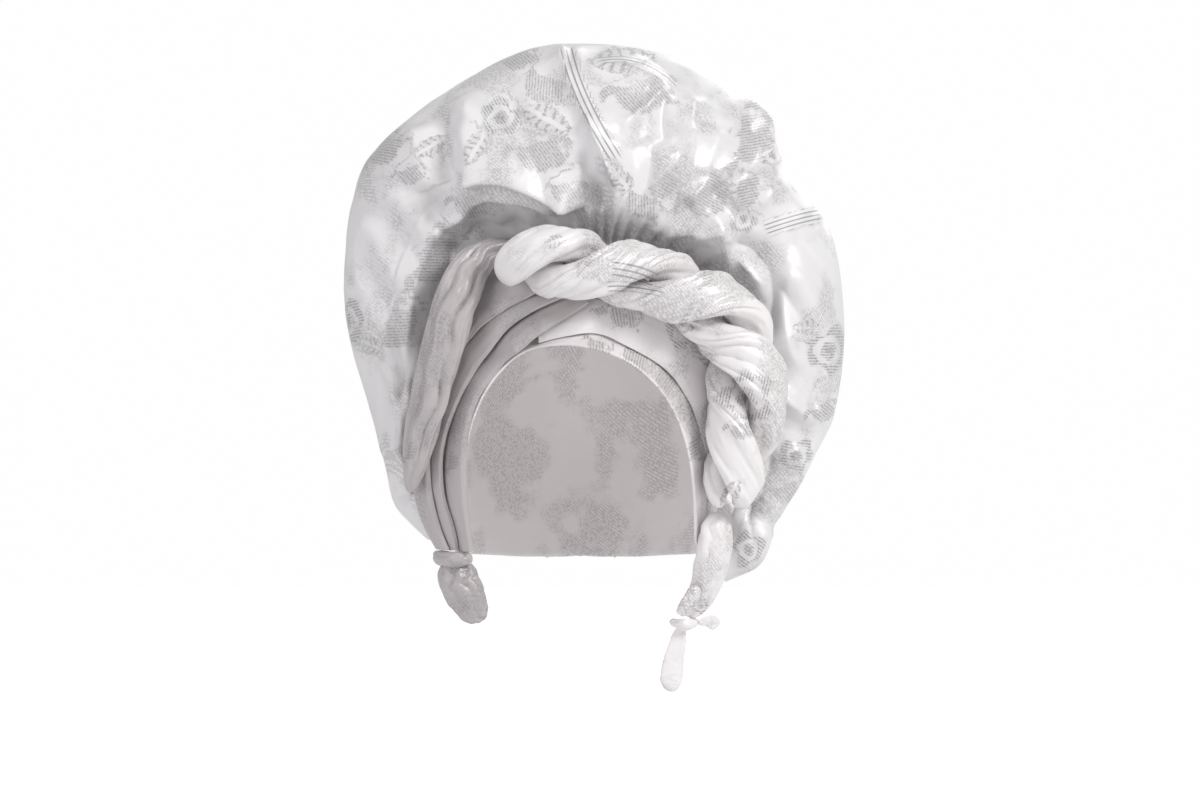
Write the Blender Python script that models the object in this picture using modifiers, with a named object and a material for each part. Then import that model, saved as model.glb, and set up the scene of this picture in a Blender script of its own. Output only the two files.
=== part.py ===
"""A tied gele: one long brocade cloth wrapped round the head, twisted into a rope and fluffed into a fan.

Metres, +Z up, the front faces -Y. The origin is the inner top of the hollow, where a head's crown sits.
"""
from collections import namedtuple
from math import acos, atan2, cos, exp, pi, radians, sin, sqrt

import bmesh
import bpy
import numpy as np
from mathutils import Vector
from mathutils.bvhtree import BVHTree

# Head hollow, inside the wrap
HEAD_WIDTH = 0.150
HEAD_DEPTH = 0.188
CROWN_RISE = 0.095
NAPE_DROP = 0.130

# Cloth and clearances
CLOTH = 0.0020
GAP = 0.00035
MERGE = 0.00001
LAY_CLEARANCE = 0.0008
STRAND_CLEARANCE = 0.0005

# How a layer is laid: the sideways lean of the stack, how far it looks, how its lift spreads, and its tries
LAY_LEAN = 0.35
LAY_REACH = 0.035
LAY_FADE = 0.95
LAY_SPREAD = 3
LAY_TRIES = 12
SEAT_TRAVEL = 0.030
SEAT_STRIDE = 0.9
REST_TRIES = 6
REST_SPREAD = 3
COURSE_STEPS = 6
SLOPE_STEP = 0.004

# Fan
FAN_REACH = 0.145
FAN_RISE = 0.145
FAN_BULGE = 0.062
FAN_SHOULDER = 0.048
BACK_REACH = 0.085
BACK_SAG = 0.052
BACK_REACH_SHARE = 0.55
BACK_SAG_SHARE = 0.38
FULL_BULGE_WIDTH = 0.625
BULGE_PLACE = 0.30
SIDE_FULLNESS = 0.42
FULLNESS_POWER = 0.6
HEM_TURN = radians(102)
HEM_SIDE_DROP = 0.132
HEM_NAPE_DROP = 0.148
BACK_PLEATS = 10
BACK_PLEAT_HEIGHT = 0.006
BACK_PLEAT_START = 0.55
BACK_PLEAT_FULL = 0.90
BACK_PLEAT_MARGIN = 0.12
FOLD_FULL = 0.38
FOLD_END = 0.50
FOLD_START_FADE = 0.12
FOLD_SIDE_FADE = 0.06
FOLD_STEPS = 8
FOLD_HEIGHT = 0.010
FOLD_WIDTH = 0.020

# Rolls, rope and tails
ROPE_HALF = 0.021
ROPE_TURNS = -2.5
ROPE_START_TURN = radians(80)
ROPE_FLAT = 0.86
ROPE_CAP = 0.08
STRAND_REACH = 1.03
SIDE_ROLL_HALF = 0.0125
CHEEK_ROLL_HALF = 0.0095
CURL_HALF = 0.0052
TIE_HALF = 0.0032
BULB_HALF = 0.0120
TAIL_HALF = 0.0070
ROLL_FLAT = 0.80
TAIL_FLAT = 0.35
ROLL_CAP = 0.20
ROLL_LEAN = 0.5
BAND_CROWN = 0.08
CORNER_TAIL_HALF = 0.0042

# Cloth colours: the open cloth and the layers in its shade
WHITE = (0.86, 0.85, 0.85)
SHADE = (0.78, 0.77, 0.78)
SATIN_ROUGHNESS = 0.42
METAL_THREAD = 0.1

COLLECTION = "tied_gele"

EdgePoint = namedtuple("EdgePoint", "clock tilt")
Band = namedtuple("Band", "inner_x inner_z inner_depth outer_x outer_z outer_depth")
FanRow = namedtuple("FanRow", "rim_x rim_z start_x start_z start_depth rim_depth")
Fold = namedtuple("Fold", "x1 z1 x2 z2 x3 z3 height left_width right_width")
Course = namedtuple("Course", "x z depth swell")

# Edge of the wrap, in degrees round and away from the axis of the opening: nape, right, brow, left
WRAP_EDGE = (
    EdgePoint(-90, 111),
    EdgePoint(-70, 108),
    EdgePoint(-49, 100),
    EdgePoint(-30, 87),
    EdgePoint(-13, 71),
    EdgePoint(1, 60),
    EdgePoint(9, 59),
    EdgePoint(21, 63),
    EdgePoint(31, 68),
    EdgePoint(41, 74),
    EdgePoint(53, 80),
    EdgePoint(69, 85),
    EdgePoint(84, 88),
    EdgePoint(98, 90),
    EdgePoint(114, 91),
    EdgePoint(127, 87),
    EdgePoint(138, 81),
    EdgePoint(148, 74),
    EdgePoint(156, 66),
    EdgePoint(164, 60),
    EdgePoint(174, 55),
    EdgePoint(183, 57),
    EdgePoint(194, 71),
    EdgePoint(210, 87),
    EdgePoint(229, 100),
    EdgePoint(250, 108),
    EdgePoint(270, 111),
)

# Bands: both edges as shares of the fan's reach and of half the head's depth. A depth of None is the wrap's.
CROSS_BAND = (
    Band(-0.157, -0.185, None, -0.157, -0.020, -0.574),
    Band(-0.039, -0.157, None, -0.039, -0.016, -0.574),
    Band(0.067, -0.149, None, 0.086, -0.012, -0.564),
    Band(0.173, -0.193, None, 0.236, -0.031, -0.543),
    Band(0.330, -0.287, None, 0.432, -0.106, -0.447),
    Band(0.413, -0.393, None, 0.519, -0.204, -0.319),
    Band(0.452, -0.480, None, 0.550, -0.342, -0.255),
    Band(0.495, -0.641, None, 0.566, -0.519, -0.213),
    Band(0.499, -0.759, None, 0.558, -0.676, -0.191),
    Band(0.483, -0.936, None, 0.519, -0.873, -0.191),
)
INNER_PLEAT = (
    Band(0.039, -0.031, -0.654, 0.047, -0.004, -0.628),
    Band(-0.008, -0.067, -0.660, -0.039, 0.000, -0.628),
    Band(-0.145, -0.149, -0.740, -0.157, -0.039, -0.630),
    Band(-0.236, -0.216, -0.740, -0.267, -0.110, -0.585),
    Band(-0.299, -0.275, None, -0.346, -0.204, -0.511),
    Band(-0.385, -0.393, None, -0.425, -0.291, -0.457),
    Band(-0.428, -0.523, None, -0.491, -0.425, -0.404),
    Band(-0.440, -0.656, None, -0.527, -0.594, -0.362),
    Band(-0.440, -0.767, None, -0.527, -0.755, -0.362),
    Band(-0.425, -0.910, None, -0.487, -0.890, -0.372),
    Band(-0.413, -0.985, None, -0.472, -0.975, -0.372),
)
MIDDLE_PLEAT = (
    Band(-0.067, -0.016, -0.680, -0.094, 0.004, -0.670),
    Band(-0.177, -0.067, -0.690, -0.228, -0.008, -0.630),
    Band(-0.279, -0.138, -0.650, -0.322, -0.055, -0.585),
    Band(-0.342, -0.220, -0.595, -0.401, -0.126, -0.510),
    Band(-0.401, -0.303, -0.540, -0.456, -0.204, -0.440),
    Band(-0.472, -0.440, -0.485, -0.503, -0.342, -0.390),
    Band(-0.519, -0.594, -0.440, -0.566, -0.499, -0.340),
    Band(-0.519, -0.755, -0.440, -0.582, -0.676, -0.310),
    Band(-0.480, -0.890, -0.440, -0.550, -0.860, -0.310),
    Band(-0.464, -0.975, -0.440, -0.511, -0.975, -0.330),
)
OUTER_PLEAT = (
    Band(-0.208, -0.012, -0.690, -0.330, 0.130, -0.330),
    Band(-0.299, -0.063, -0.650, -0.395, 0.050, -0.330),
    Band(-0.385, -0.126, -0.580, -0.430, -0.063, -0.340),
    Band(-0.440, -0.204, -0.515, -0.464, -0.200, -0.410),
    Band(-0.472, -0.275, -0.465, -0.519, -0.354, -0.330),
    Band(-0.550, -0.480, -0.395, -0.590, -0.558, -0.260),
    Band(-0.566, -0.676, -0.365, -0.645, -0.715, -0.215),
    Band(-0.535, -0.860, -0.365, -0.613, -0.860, -0.215),
    Band(-0.491, -0.970, -0.385, -0.550, -0.965, -0.255),
)

# Fan, from the left tie over the top to the right cheek: rim and start as shares of its reach and rise
FAN_ROWS = (
    FanRow(-0.600, -0.950, -0.520, -0.950, -0.14, 0.04),
    FanRow(-0.668, -0.885, -0.585, -0.870, -0.16, 0.06),
    FanRow(-0.735, -0.800, -0.655, -0.750, -0.17, 0.08),
    FanRow(-0.778, -0.617, -0.680, -0.558, -0.18, 0.05),
    FanRow(-0.888, -0.248, -0.629, -0.291, -0.24, 0.10),
    FanRow(-0.928, 0.039, -0.560, 0.008, -0.28, 0.12),
    FanRow(-0.873, 0.472, -0.450, 0.250, -0.30, 0.12),
    FanRow(-0.696, 0.688, -0.250, 0.292, -0.32, 0.10),
    FanRow(-0.440, 0.865, -0.079, 0.262, -0.38, 0.06),
    FanRow(-0.185, 0.983, 0.020, 0.235, -0.42, 0.02),
    FanRow(0.059, 0.998, 0.079, 0.230, -0.44, 0.00),
    FanRow(0.275, 0.971, 0.134, 0.225, -0.44, 0.02),
    FanRow(0.507, 0.892, 0.204, 0.215, -0.42, 0.06),
    FanRow(0.668, 0.755, 0.299, 0.195, -0.38, 0.10),
    FanRow(0.861, 0.460, 0.409, 0.150, -0.32, 0.12),
    FanRow(0.990, 0.248, 0.540, 0.070, -0.24, 0.12),
    FanRow(1.042, -0.126, 0.650, -0.100, -0.18, 0.12),
    FanRow(1.006, -0.440, 0.700, -0.342, -0.14, 0.10),
    FanRow(0.900, -0.656, 0.676, -0.519, -0.10, 0.08),
    FanRow(0.767, -0.873, 0.629, -0.715, -0.08, 0.05),
    FanRow(0.711, -1.038, 0.590, -0.932, -0.08, 0.02),
    FanRow(0.574, -1.116, 0.535, -1.077, -0.10, 0.00),
)

# Main folds of the fan, each a bow through three points in the front view, with a width on each side of it
FOLDS = (
    Fold(-0.51, 0.46, -0.20, 0.46, 0.03, 0.36, 0.9, 0.9, 0.6),
    Fold(-0.52, 0.36, -0.20, 0.36, 0.02, 0.27, -0.6, 0.6, 0.8),
    Fold(-0.51, 0.74, -0.53, 0.62, -0.51, 0.51, -0.4, 0.8, 0.8),
    Fold(0.00, 0.62, 0.04, 0.50, 0.07, 0.36, -0.5, 0.6, 0.7),
    Fold(-0.07, 0.92, 0.02, 0.74, 0.14, 0.44, 0.5, 0.6, 0.7),
    Fold(0.10, 0.86, 0.21, 0.84, 0.34, 0.76, 0.4, 0.7, 0.6),
    Fold(0.35, 0.78, 0.33, 0.62, 0.43, 0.41, -0.5, 0.7, 0.7),
    Fold(0.64, 0.74, 0.67, 0.56, 0.65, 0.31, 0.6, 0.7, 0.7),
    Fold(0.61, 0.17, 0.77, 0.03, 0.76, -0.27, -0.8, 0.8, 0.9),
    Fold(0.68, -0.13, 0.79, -0.34, 0.94, -0.45, 0.6, 0.7, 0.7),
    Fold(-0.40, 0.40, -0.66, 0.17, -0.75, -0.30, -0.5, 0.8, 0.8),
    Fold(-0.60, 0.35, -0.74, 0.11, -0.78, -0.18, 0.4, 0.7, 0.7),
)

# Rolls: courses through their middle lines, with the swell as a share of the roll's own half thickness
ROPE = (
    Course(-0.300, 0.122, -0.460, 0.60),
    Course(-0.118, 0.130, -0.640, 0.92),
    Course(0.079, 0.106, -0.700, 0.86),
    Course(0.295, 0.055, -0.660, 0.88),
    Course(0.480, -0.028, -0.560, 0.95),
    Course(0.613, -0.165, -0.480, 1.00),
    Course(0.649, -0.401, -0.430, 1.04),
    Course(0.605, -0.645, -0.390, 0.84),
    Course(0.572, -0.815, -0.350, 0.60),
)
SIDE_ROLL = (
    Course(-0.190, 0.185, -0.330, 0.50),
    Course(-0.310, 0.182, -0.330, 0.72),
    Course(-0.410, 0.120, -0.340, 0.92),
    Course(-0.468, 0.000, -0.350, 1.04),
    Course(-0.520, -0.185, -0.330, 1.04),
    Course(-0.575, -0.381, -0.270, 0.96),
    Course(-0.622, -0.578, -0.200, 0.80),
    Course(-0.660, -0.760, -0.120, 0.60),
)
CHEEK_ROLL = (
    Course(0.535, -0.850, -0.410, 0.70),
    Course(0.532, -0.910, -0.430, 1.00),
    Course(0.520, -1.010, -0.410, 1.14),
    Course(0.495, -1.128, -0.350, 0.98),
    Course(0.452, -1.215, -0.270, 0.80),
    Course(0.420, -1.252, -0.210, 0.55),
)
CHEEK_CURL = (
    Course(0.455, -1.120, -0.440, 0.70),
    Course(0.425, -1.187, -0.420, 1.00),
    Course(0.393, -1.230, -0.340, 0.80),
)
LEFT_TIE = (
    Course(-0.420, -1.006, -0.440, 0.80),
    Course(-0.480, -1.012, -0.470, 1.00),
    Course(-0.540, -1.008, -0.360, 1.00),
    Course(-0.560, -1.004, -0.220, 0.80),
)
LEFT_BULB = (
    Course(-0.483, -1.018, -0.370, 0.90),
    Course(-0.475, -1.085, -0.370, 1.00),
    Course(-0.448, -1.152, -0.370, 1.00),
    Course(-0.424, -1.205, -0.330, 0.85),
    Course(-0.395, -1.250, -0.260, 0.66),
)
TAIL_TIE = (
    Course(0.355, -1.262, -0.220, 0.80),
    Course(0.408, -1.272, -0.290, 1.00),
    Course(0.458, -1.262, -0.190, 0.80),
)
TAIL = (
    Course(0.398, -1.256, -0.240, 0.60),
    Course(0.368, -1.384, -0.200, 0.95),
    Course(0.358, -1.470, -0.190, 1.00),
    Course(0.372, -1.518, -0.180, 0.50),
)
CORNER_TAIL = (
    Course(0.475, -1.270, -0.240, 0.60),
    Course(0.520, -1.262, -0.200, 1.00),
    Course(0.550, -1.290, -0.170, 0.90),
)


def clear_scene():
    """Removes what the scene holds before the head tie is made."""
    for item in list(bpy.data.objects):
        bpy.data.objects.remove(item)


def brocade(node, colour):
    """Makes a node's own cloth material."""
    material = bpy.data.materials.new(node + "_cloth")
    material.use_nodes = True
    shader = material.node_tree.nodes["Principled BSDF"]
    shader.inputs["Base Color"].default_value = (*colour, 1.0)
    shader.inputs["Roughness"].default_value = SATIN_ROUGHNESS
    shader.inputs["Metallic"].default_value = METAL_THREAD
    return material


def between(rows, share):
    """Reads a table at a share of its length, on a smooth curve through its rows."""
    values = np.array(rows, float)
    last = len(values) - 1
    place = min(max(share, 0.0), 1.0) * last
    first = min(int(place), last - 1)
    t = place - first
    before = values[max(first - 1, 0)]
    start = values[first]
    end = values[first + 1]
    after = values[min(first + 2, last)]
    straight = 2 * start + (end - before) * t
    bend = (2 * before - 5 * start + 4 * end - after) * t ** 2
    twist = (3 * start - before - 3 * end + after) * t ** 3
    return type(rows[0])(*((straight + bend + twist) / 2))


def ease(low, high, value):
    """Rises smoothly from 0 at low to 1 at high."""
    share = min(max((value - low) / (high - low), 0.0), 1.0)
    return share * share * (3 - 2 * share)


def bezier(points, share):
    """Reads a cubic curve through its four control points."""
    rest = 1 - share
    weights = (rest ** 3, 3 * rest ** 2 * share, 3 * rest * share ** 2, share ** 3)
    return sum((point * weight for point, weight in zip(points, weights)), Vector((0, 0, 0)))


def wrap_point(direction, lift):
    """Scales a unit direction from the middle of the head to the wrap's form, grown by a lift."""
    rise = CROWN_RISE if direction.z > 0 else NAPE_DROP
    x = direction.x * (HEAD_WIDTH / 2 + lift)
    y = direction.y * (HEAD_DEPTH / 2 + lift)
    return Vector((x, y, direction.z * (rise + lift) - CROWN_RISE))


def wrap_depth(x, z, lift):
    """Gives the y of the wrap's front at a place in the front view."""
    height = z + CROWN_RISE
    rise = CROWN_RISE if height > 0 else NAPE_DROP
    across = x / (HEAD_WIDTH / 2 + lift)
    along = height / (rise + lift)
    return -(HEAD_DEPTH / 2 + lift) * sqrt(max(1 - across ** 2 - along ** 2, 0))


def wrap_place(around, outward):
    """Places a point of the wrap, from its pole behind the crown to the edge of the opening."""
    edge = between(WRAP_EDGE, around)
    clock = radians(edge.clock)
    tilt = pi - (pi - radians(edge.tilt)) * outward
    axis = Vector((0, -1, -1)).normalized()
    upward = Vector((0, -1, 1)).normalized()
    ring = Vector((1, 0, 0)) * cos(clock) + upward * sin(clock)
    return wrap_point(axis * cos(tilt) + ring * sin(tilt), 0)


def fan_hem(around):
    """Gives the fan's hem, which runs from the left side round the nape to the right side."""
    turn = HEM_TURN + (2 * pi - 2 * HEM_TURN) * around
    drop = HEM_SIDE_DROP + (HEM_NAPE_DROP - HEM_SIDE_DROP) * sin(pi * around)
    lift = 2 * CLOTH + GAP
    level = (drop - CROWN_RISE) / (NAPE_DROP + lift)
    flat = sqrt(1 - level ** 2)
    return wrap_point(Vector((-sin(turn) * flat, -cos(turn) * flat, -level)), lift)


def fan_base(around, along):
    """Gives the fan's smooth form: the front from start to rim, then the back from rim to hem."""
    row = between(FAN_ROWS, around)
    half_depth = HEAD_DEPTH / 2
    start = Vector((row.start_x * FAN_REACH, row.start_depth * half_depth, row.start_z * FAN_RISE))
    rim = Vector((row.rim_x * FAN_REACH, row.rim_depth * half_depth, row.rim_z * FAN_RISE))
    if along <= 0.5:
        run = rim - start
        width = Vector((run.x, 0, run.z)).length
        swell = min(width / (FAN_REACH * FULL_BULGE_WIDTH), 1)
        first = start + run * BULGE_PLACE + Vector((0, -FAN_BULGE * swell, 0))
        second = rim + Vector((0, -FAN_SHOULDER * swell, 0))
        return bezier((start, first, second, rim), along * 2)
    hem = fan_hem(around)
    away = Vector((hem.x, hem.y, 0)).normalized()
    fullness = SIDE_FULLNESS + (1 - SIDE_FULLNESS) * sin(pi * around) ** FULLNESS_POWER
    span = (hem - rim).length
    reach = min(BACK_REACH * fullness, span * BACK_REACH_SHARE)
    sag = min(BACK_SAG * fullness, span * BACK_SAG_SHARE)
    first = rim + Vector((0, reach, 0))
    second = hem + away * sag + Vector((0, 0, sag))
    return bezier((rim, first, second, hem), along * 2 - 1)


def fold_point(fold, share):
    """Reads a fold's run at a share of its length, in the front view."""
    weights = ((1 - share) ** 2, 2 * share * (1 - share), share ** 2)
    x = fold.x1 * weights[0] + fold.x2 * weights[1] + fold.x3 * weights[2]
    z = fold.z1 * weights[0] + fold.z2 * weights[1] + fold.z3 * weights[2]
    return Vector((x * FAN_REACH, z * FAN_RISE))


def fold_height(fold, x, z):
    """Gives one fold's height at a place in the front view, with its own width on each side of its run."""
    nearest = 0
    for step in range(FOLD_STEPS):
        before = fold_point(fold, step / FOLD_STEPS)
        run = fold_point(fold, (step + 1) / FOLD_STEPS) - before
        offset = Vector((x, z)) - before
        share = min(max(offset.dot(run) / run.length_squared, 0), 1)
        away = offset - run * share
        side = run.x * offset.y - run.y * offset.x
        width = FOLD_WIDTH * (fold.left_width if side > 0 else fold.right_width)
        nearest = max(nearest, exp(-(away.length / width) ** 2))
    return nearest * fold.height * FOLD_HEIGHT


def fan_relief(point, around, along):
    """Adds up the folds on the front and the gathers that run down the back to the hem."""
    edge = min(around, 1 - around)
    height = 0
    if along < FOLD_END:
        height = sum(fold_height(fold, point.x, point.z) for fold in FOLDS)
        height *= 1 - ease(FOLD_FULL, FOLD_END, along)
        height *= ease(0, FOLD_START_FADE, along) * ease(0, FOLD_SIDE_FADE, edge)
    gather = (1 + cos(2 * pi * BACK_PLEATS * around)) / 2 * ease(0, BACK_PLEAT_MARGIN, edge)
    return height + gather * BACK_PLEAT_HEIGHT * ease(BACK_PLEAT_START, BACK_PLEAT_FULL, along)


def fan_place(around, along):
    """Places a point of the fan with its folds."""
    point = fan_base(around, along)
    back = min(along + SLOPE_STEP, 1)
    ahead = fan_base(around, back) - fan_base(around, back - SLOPE_STEP)
    side = min(around + SLOPE_STEP, 1)
    across = fan_base(side, along) - fan_base(side - SLOPE_STEP, along)
    normal = across.cross(ahead).normalized()
    return point + normal * fan_relief(point, around, along)


def band_place(rows, crown):
    """Gives the place function of a band, with its cross section crowned outward."""
    ready = []
    for row in rows:
        if row.inner_depth is None:
            y = wrap_depth(row.inner_x * FAN_REACH, row.inner_z * FAN_RISE, CLOTH + GAP)
            row = row._replace(inner_depth=y / (HEAD_DEPTH / 2))
        ready.append(row)

    def place(along, across):
        row = between(ready, along)
        half = HEAD_DEPTH / 2
        inner = Vector((row.inner_x * FAN_REACH, row.inner_depth * half, row.inner_z * FAN_RISE))
        outer = Vector((row.outer_x * FAN_REACH, row.outer_depth * half, row.outer_z * FAN_RISE))
        middle = inner.lerp(outer, across)
        away = (middle - Vector((0, 0, -CROWN_RISE))).normalized()
        return middle + away * crown * (inner - outer).length * 4 * across * (1 - across)

    return place


def add_object(name, bm, material):
    """Puts a finished mesh into the collection."""
    mesh = bpy.data.meshes.new(name)
    bm.to_mesh(mesh)
    bm.free()
    mesh.shade_smooth()
    mesh.materials.append(material)
    piece = bpy.data.objects.new(name, mesh)
    bpy.data.collections[COLLECTION].objects.link(piece)
    return piece


def face_away(bm, centre):
    """Turns an open sheet so that its faces look away from a centre."""
    bm.normal_update()
    total = sum(face.normal.dot(face.calc_center_median() - centre) * face.calc_area() for face in bm.faces)
    if total < 0:
        bmesh.ops.reverse_faces(bm, faces=bm.faces)


def surface(piece):
    """Gives the finished surface of a piece, for what is laid over it."""
    return BVHTree.FromObject(piece, bpy.context.evaluated_depsgraph_get())


def outward(point):
    """Gives the way in which the front layers are stacked: forward, and a little away from the middle."""
    lean = Vector((point.x, 0, point.z + CROWN_RISE)) * LAY_LEAN
    return (lean + Vector((0, -HEAD_DEPTH / 3, 0))).normalized()


def shortfall(point, under, clearance):
    """Tells how far a point has to move outward to clear the surfaces under it."""
    away = outward(point)
    push = 0
    for tree in under:
        hit = tree.ray_cast(point + away * LAY_REACH, -away, 2 * LAY_REACH)[0]
        if hit is not None:
            push = max(push, (hit - point).dot(away) + clearance)
    return push


def lay_over(bm, under, clearance):
    """Lifts a sheet's points off the surfaces under it, and their neighbours nearly as far."""
    bm.verts.index_update()
    push = [shortfall(vert.co, under, clearance) for vert in bm.verts]
    for _ in range(LAY_SPREAD):
        near = [[edge.other_vert(vert).index for edge in vert.link_edges] for vert in bm.verts]
        push = [max([own] + [LAY_FADE * push[other] for other in others]) for own, others in zip(push, near)]
    for vert in bm.verts:
        vert.co += outward(vert.co) * push[vert.index]
    for _ in range(LAY_TRIES):
        tree = BVHTree.FromBMesh(bm)
        bm.faces.ensure_lookup_table()
        low = {vert for other in under for face, _ in tree.overlap(other) for vert in bm.faces[face].verts}
        for vert in low:
            vert.co += outward(vert.co) * clearance / 2


def seat(bm, under, approach, start):
    """Brings a whole piece along its approach, from a start behind its place, until it meets its carrier."""
    travel = -start
    while travel < SEAT_TRAVEL:
        room = min(tree.find_nearest(vert.co + approach * travel)[3] for tree in under for vert in bm.verts)
        step = max(room - LAY_CLEARANCE, 0) * SEAT_STRIDE
        bmesh.ops.translate(bm, verts=bm.verts, vec=approach * (travel + step))
        met = any(BVHTree.FromBMesh(bm).overlap(tree) for tree in under)
        bmesh.ops.translate(bm, verts=bm.verts, vec=approach * -(travel + step))
        if met or step < MERGE:
            break
        travel += step
    bmesh.ops.translate(bm, verts=bm.verts, vec=approach * travel)


def add_sheet(name, columns, rows, place, side, material, under=()):
    """Makes a cloth wall: a grid set in place and thickened outward (side 1) or inward (side -1)."""
    bm = bmesh.new()
    bmesh.ops.create_grid(bm, x_segments=columns, y_segments=rows, size=0.5)
    for vert in bm.verts:
        vert.co = place(vert.co.x + 0.5, vert.co.y + 0.5)
    bmesh.ops.remove_doubles(bm, verts=bm.verts, dist=MERGE)
    lay_over(bm, under, LAY_CLEARANCE + (CLOTH if side < 0 else 0))
    face_away(bm, Vector((0, 0, -CROWN_RISE)))
    piece = add_object(name, bm, material)
    wall = piece.modifiers.new("Cloth wall", "SOLIDIFY")
    wall.thickness = CLOTH
    wall.offset = side
    return piece


def course_point(rows, share):
    """Gives a roll's middle line in metres."""
    row = between(rows, share)
    return Vector((row.x * FAN_REACH, row.depth * HEAD_DEPTH / 2, row.z * FAN_RISE))


def course_frame(rows, share):
    """Gives the middle line with the directions away from the head and across the roll."""
    point = course_point(rows, share)
    ahead = (course_point(rows, share + SLOPE_STEP) - course_point(rows, share - SLOPE_STEP)).normalized()
    away = Vector((point.x * ROLL_LEAN, point.y - HEAD_DEPTH / 4, (point.z + CROWN_RISE) * ROLL_LEAN))
    away = (away - ahead * away.dot(ahead)).normalized()
    return point, away, ahead.cross(away)


def end_round(share, cap):
    """Closes a roll's section to nothing at both ends, over a cap's share of its length."""
    near = min(share, 1 - share)
    if near >= cap:
        return 1.0
    return sqrt(max(1 - (1 - near / cap) ** 2, 0))


def rest_course(rows, half, under, cap):
    """Moves the rope's course outward until its two strands clear the surfaces under them."""
    forward = Vector((0, -1, 0))
    count = COURSE_STEPS * len(rows)
    fine = [between(rows, step / (count - 1)) for step in range(count)]
    points = [course_point(rows, step / (count - 1)) for step in range(count)]
    push = []
    for step, (row, point) in enumerate(zip(fine, points)):
        need = 0
        thick = half * row.swell * (1 + end_round(step / (count - 1), cap)) / 2
        room = thick * STRAND_REACH + LAY_CLEARANCE
        for tree in under:
            for _ in range(REST_TRIES):
                near = tree.find_nearest(point + forward * need)[3]
                if near is not None:
                    need += max(room - near, 0)
        push.append(need)
    near = [slice(max(step - REST_SPREAD, 0), step + REST_SPREAD + 1) for step in range(count)]
    wide = [max(push[places]) for places in near]
    even = [sum(wide[places]) / len(wide[places]) for places in near]
    points = [point + forward * lift for point, lift in zip(points, even)]
    return [Course(point.x / FAN_REACH, point.z / FAN_RISE, point.y * 2 / HEAD_DEPTH, row.swell)
            for point, row in zip(points, fine)]


def add_roll(name, rows, half, material, sides=8, steps=10, flat=ROLL_FLAT, cap=ROLL_CAP, turn=None,
             rest=(), under=(), approach=None, start=SEAT_TRAVEL):
    """Stretches a sphere along a course. With a turn it is one strand of a rope, beside the rope's axis."""
    if rest:
        rows = rest_course(rows, half, rest, cap)
    bm = bmesh.new()
    bmesh.ops.create_uvsphere(bm, u_segments=sides, v_segments=steps, radius=1)
    for vert in bm.verts:
        share = acos(max(-1, min(1, -vert.co.z))) / pi
        corner = atan2(vert.co.y, vert.co.x)
        pole = abs(vert.co.z) > 1 - MERGE
        point, away, across = course_frame(rows, share)
        size = 0 if pole else half * between(rows, share).swell * end_round(share, cap)
        if turn is None:
            vert.co = point + (across * cos(corner) + away * sin(corner) * flat) * size
            continue
        angle = turn + 2 * pi * ROPE_TURNS * share
        beside = away * cos(angle) + across * sin(angle)
        tangent = across * cos(angle) - away * sin(angle)
        thick = half * between(rows, share).swell / 2
        centre = point + beside * (thick + STRAND_CLEARANCE)
        vert.co = centre + beside * cos(corner) * size / 2 + tangent * sin(corner) * size * flat
    bmesh.ops.triangulate(bm, faces=bm.faces, quad_method="SHORT_EDGE")
    if bm.calc_volume(signed=True) < 0:
        bmesh.ops.reverse_faces(bm, faces=bm.faces)
    if approach is not None:
        seat(bm, under, Vector(approach), start)
    return add_object(name, bm, material)


def build():
    clear_scene()
    collection = bpy.data.collections.new(COLLECTION)
    bpy.context.scene.collection.children.link(collection)
    backward = (0, 1, 0)
    upward = (0, 0, 1)
    layers = [surface(add_sheet("head_wrap", 46, 9, wrap_place, 1, brocade("head_wrap", SHADE)))]
    bands = (("cross_band", CROSS_BAND, 24, 4), ("pleat_inner", INNER_PLEAT, 26, 3),
             ("pleat_middle", MIDDLE_PLEAT, 24, 3), ("pleat_outer", OUTER_PLEAT, 22, 5))
    for name, rows, columns, lanes in bands:
        place = band_place(rows, BAND_CROWN)
        layers.append(surface(add_sheet(name, columns, lanes, place, 1, brocade(name, SHADE), layers)))
    outer_pleat = layers[-1]
    turns = {"twist_strand_a": ROPE_START_TURN, "twist_strand_b": ROPE_START_TURN + pi}
    layers += [surface(add_roll(name, ROPE, ROPE_HALF, brocade(name, WHITE), sides=10, steps=52,
                                flat=ROPE_FLAT, cap=ROPE_CAP, turn=turn, rest=layers))
               for name, turn in turns.items()]
    side_roll = add_roll("side_roll", SIDE_ROLL, SIDE_ROLL_HALF, brocade("side_roll", WHITE), steps=16,
                         rest=[outer_pleat], under=layers, approach=backward, start=0)
    layers.append(surface(side_roll))
    layers.append(surface(add_sheet("fan", 56, 20, fan_place, -1, brocade("fan", WHITE))))
    rolls = (("cheek_roll", CHEEK_ROLL, CHEEK_ROLL_HALF, ROLL_FLAT, upward),
             ("cheek_curl", CHEEK_CURL, CURL_HALF, ROLL_FLAT, backward),
             ("left_tie", LEFT_TIE, TIE_HALF, ROLL_FLAT, upward),
             ("left_bulb", LEFT_BULB, BULB_HALF, ROLL_FLAT, upward),
             ("tail_tie", TAIL_TIE, TIE_HALF, ROLL_FLAT, upward),
             ("tail", TAIL, TAIL_HALF, TAIL_FLAT, upward),
             ("corner_tail", CORNER_TAIL, CORNER_TAIL_HALF, TAIL_FLAT, (-1, 0, 0)))
    for name, rows, half, flat, approach in rolls:
        roll = add_roll(name, rows, half, brocade(name, WHITE), flat=flat, under=layers, approach=approach)
        layers.append(surface(roll))


build()
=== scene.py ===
# %% [markdown]
# # A tied gele
# A gele is one long, stiff brocade cloth. It is wound round the head, twisted into a rope over the brow,
# and what is left is pulled up and fluffed into a tall fan. This lesson dresses its plain solids with thin,
# folded cloth. Every piece is built where its solid lies, so that nothing has to be fitted by eye.

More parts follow.
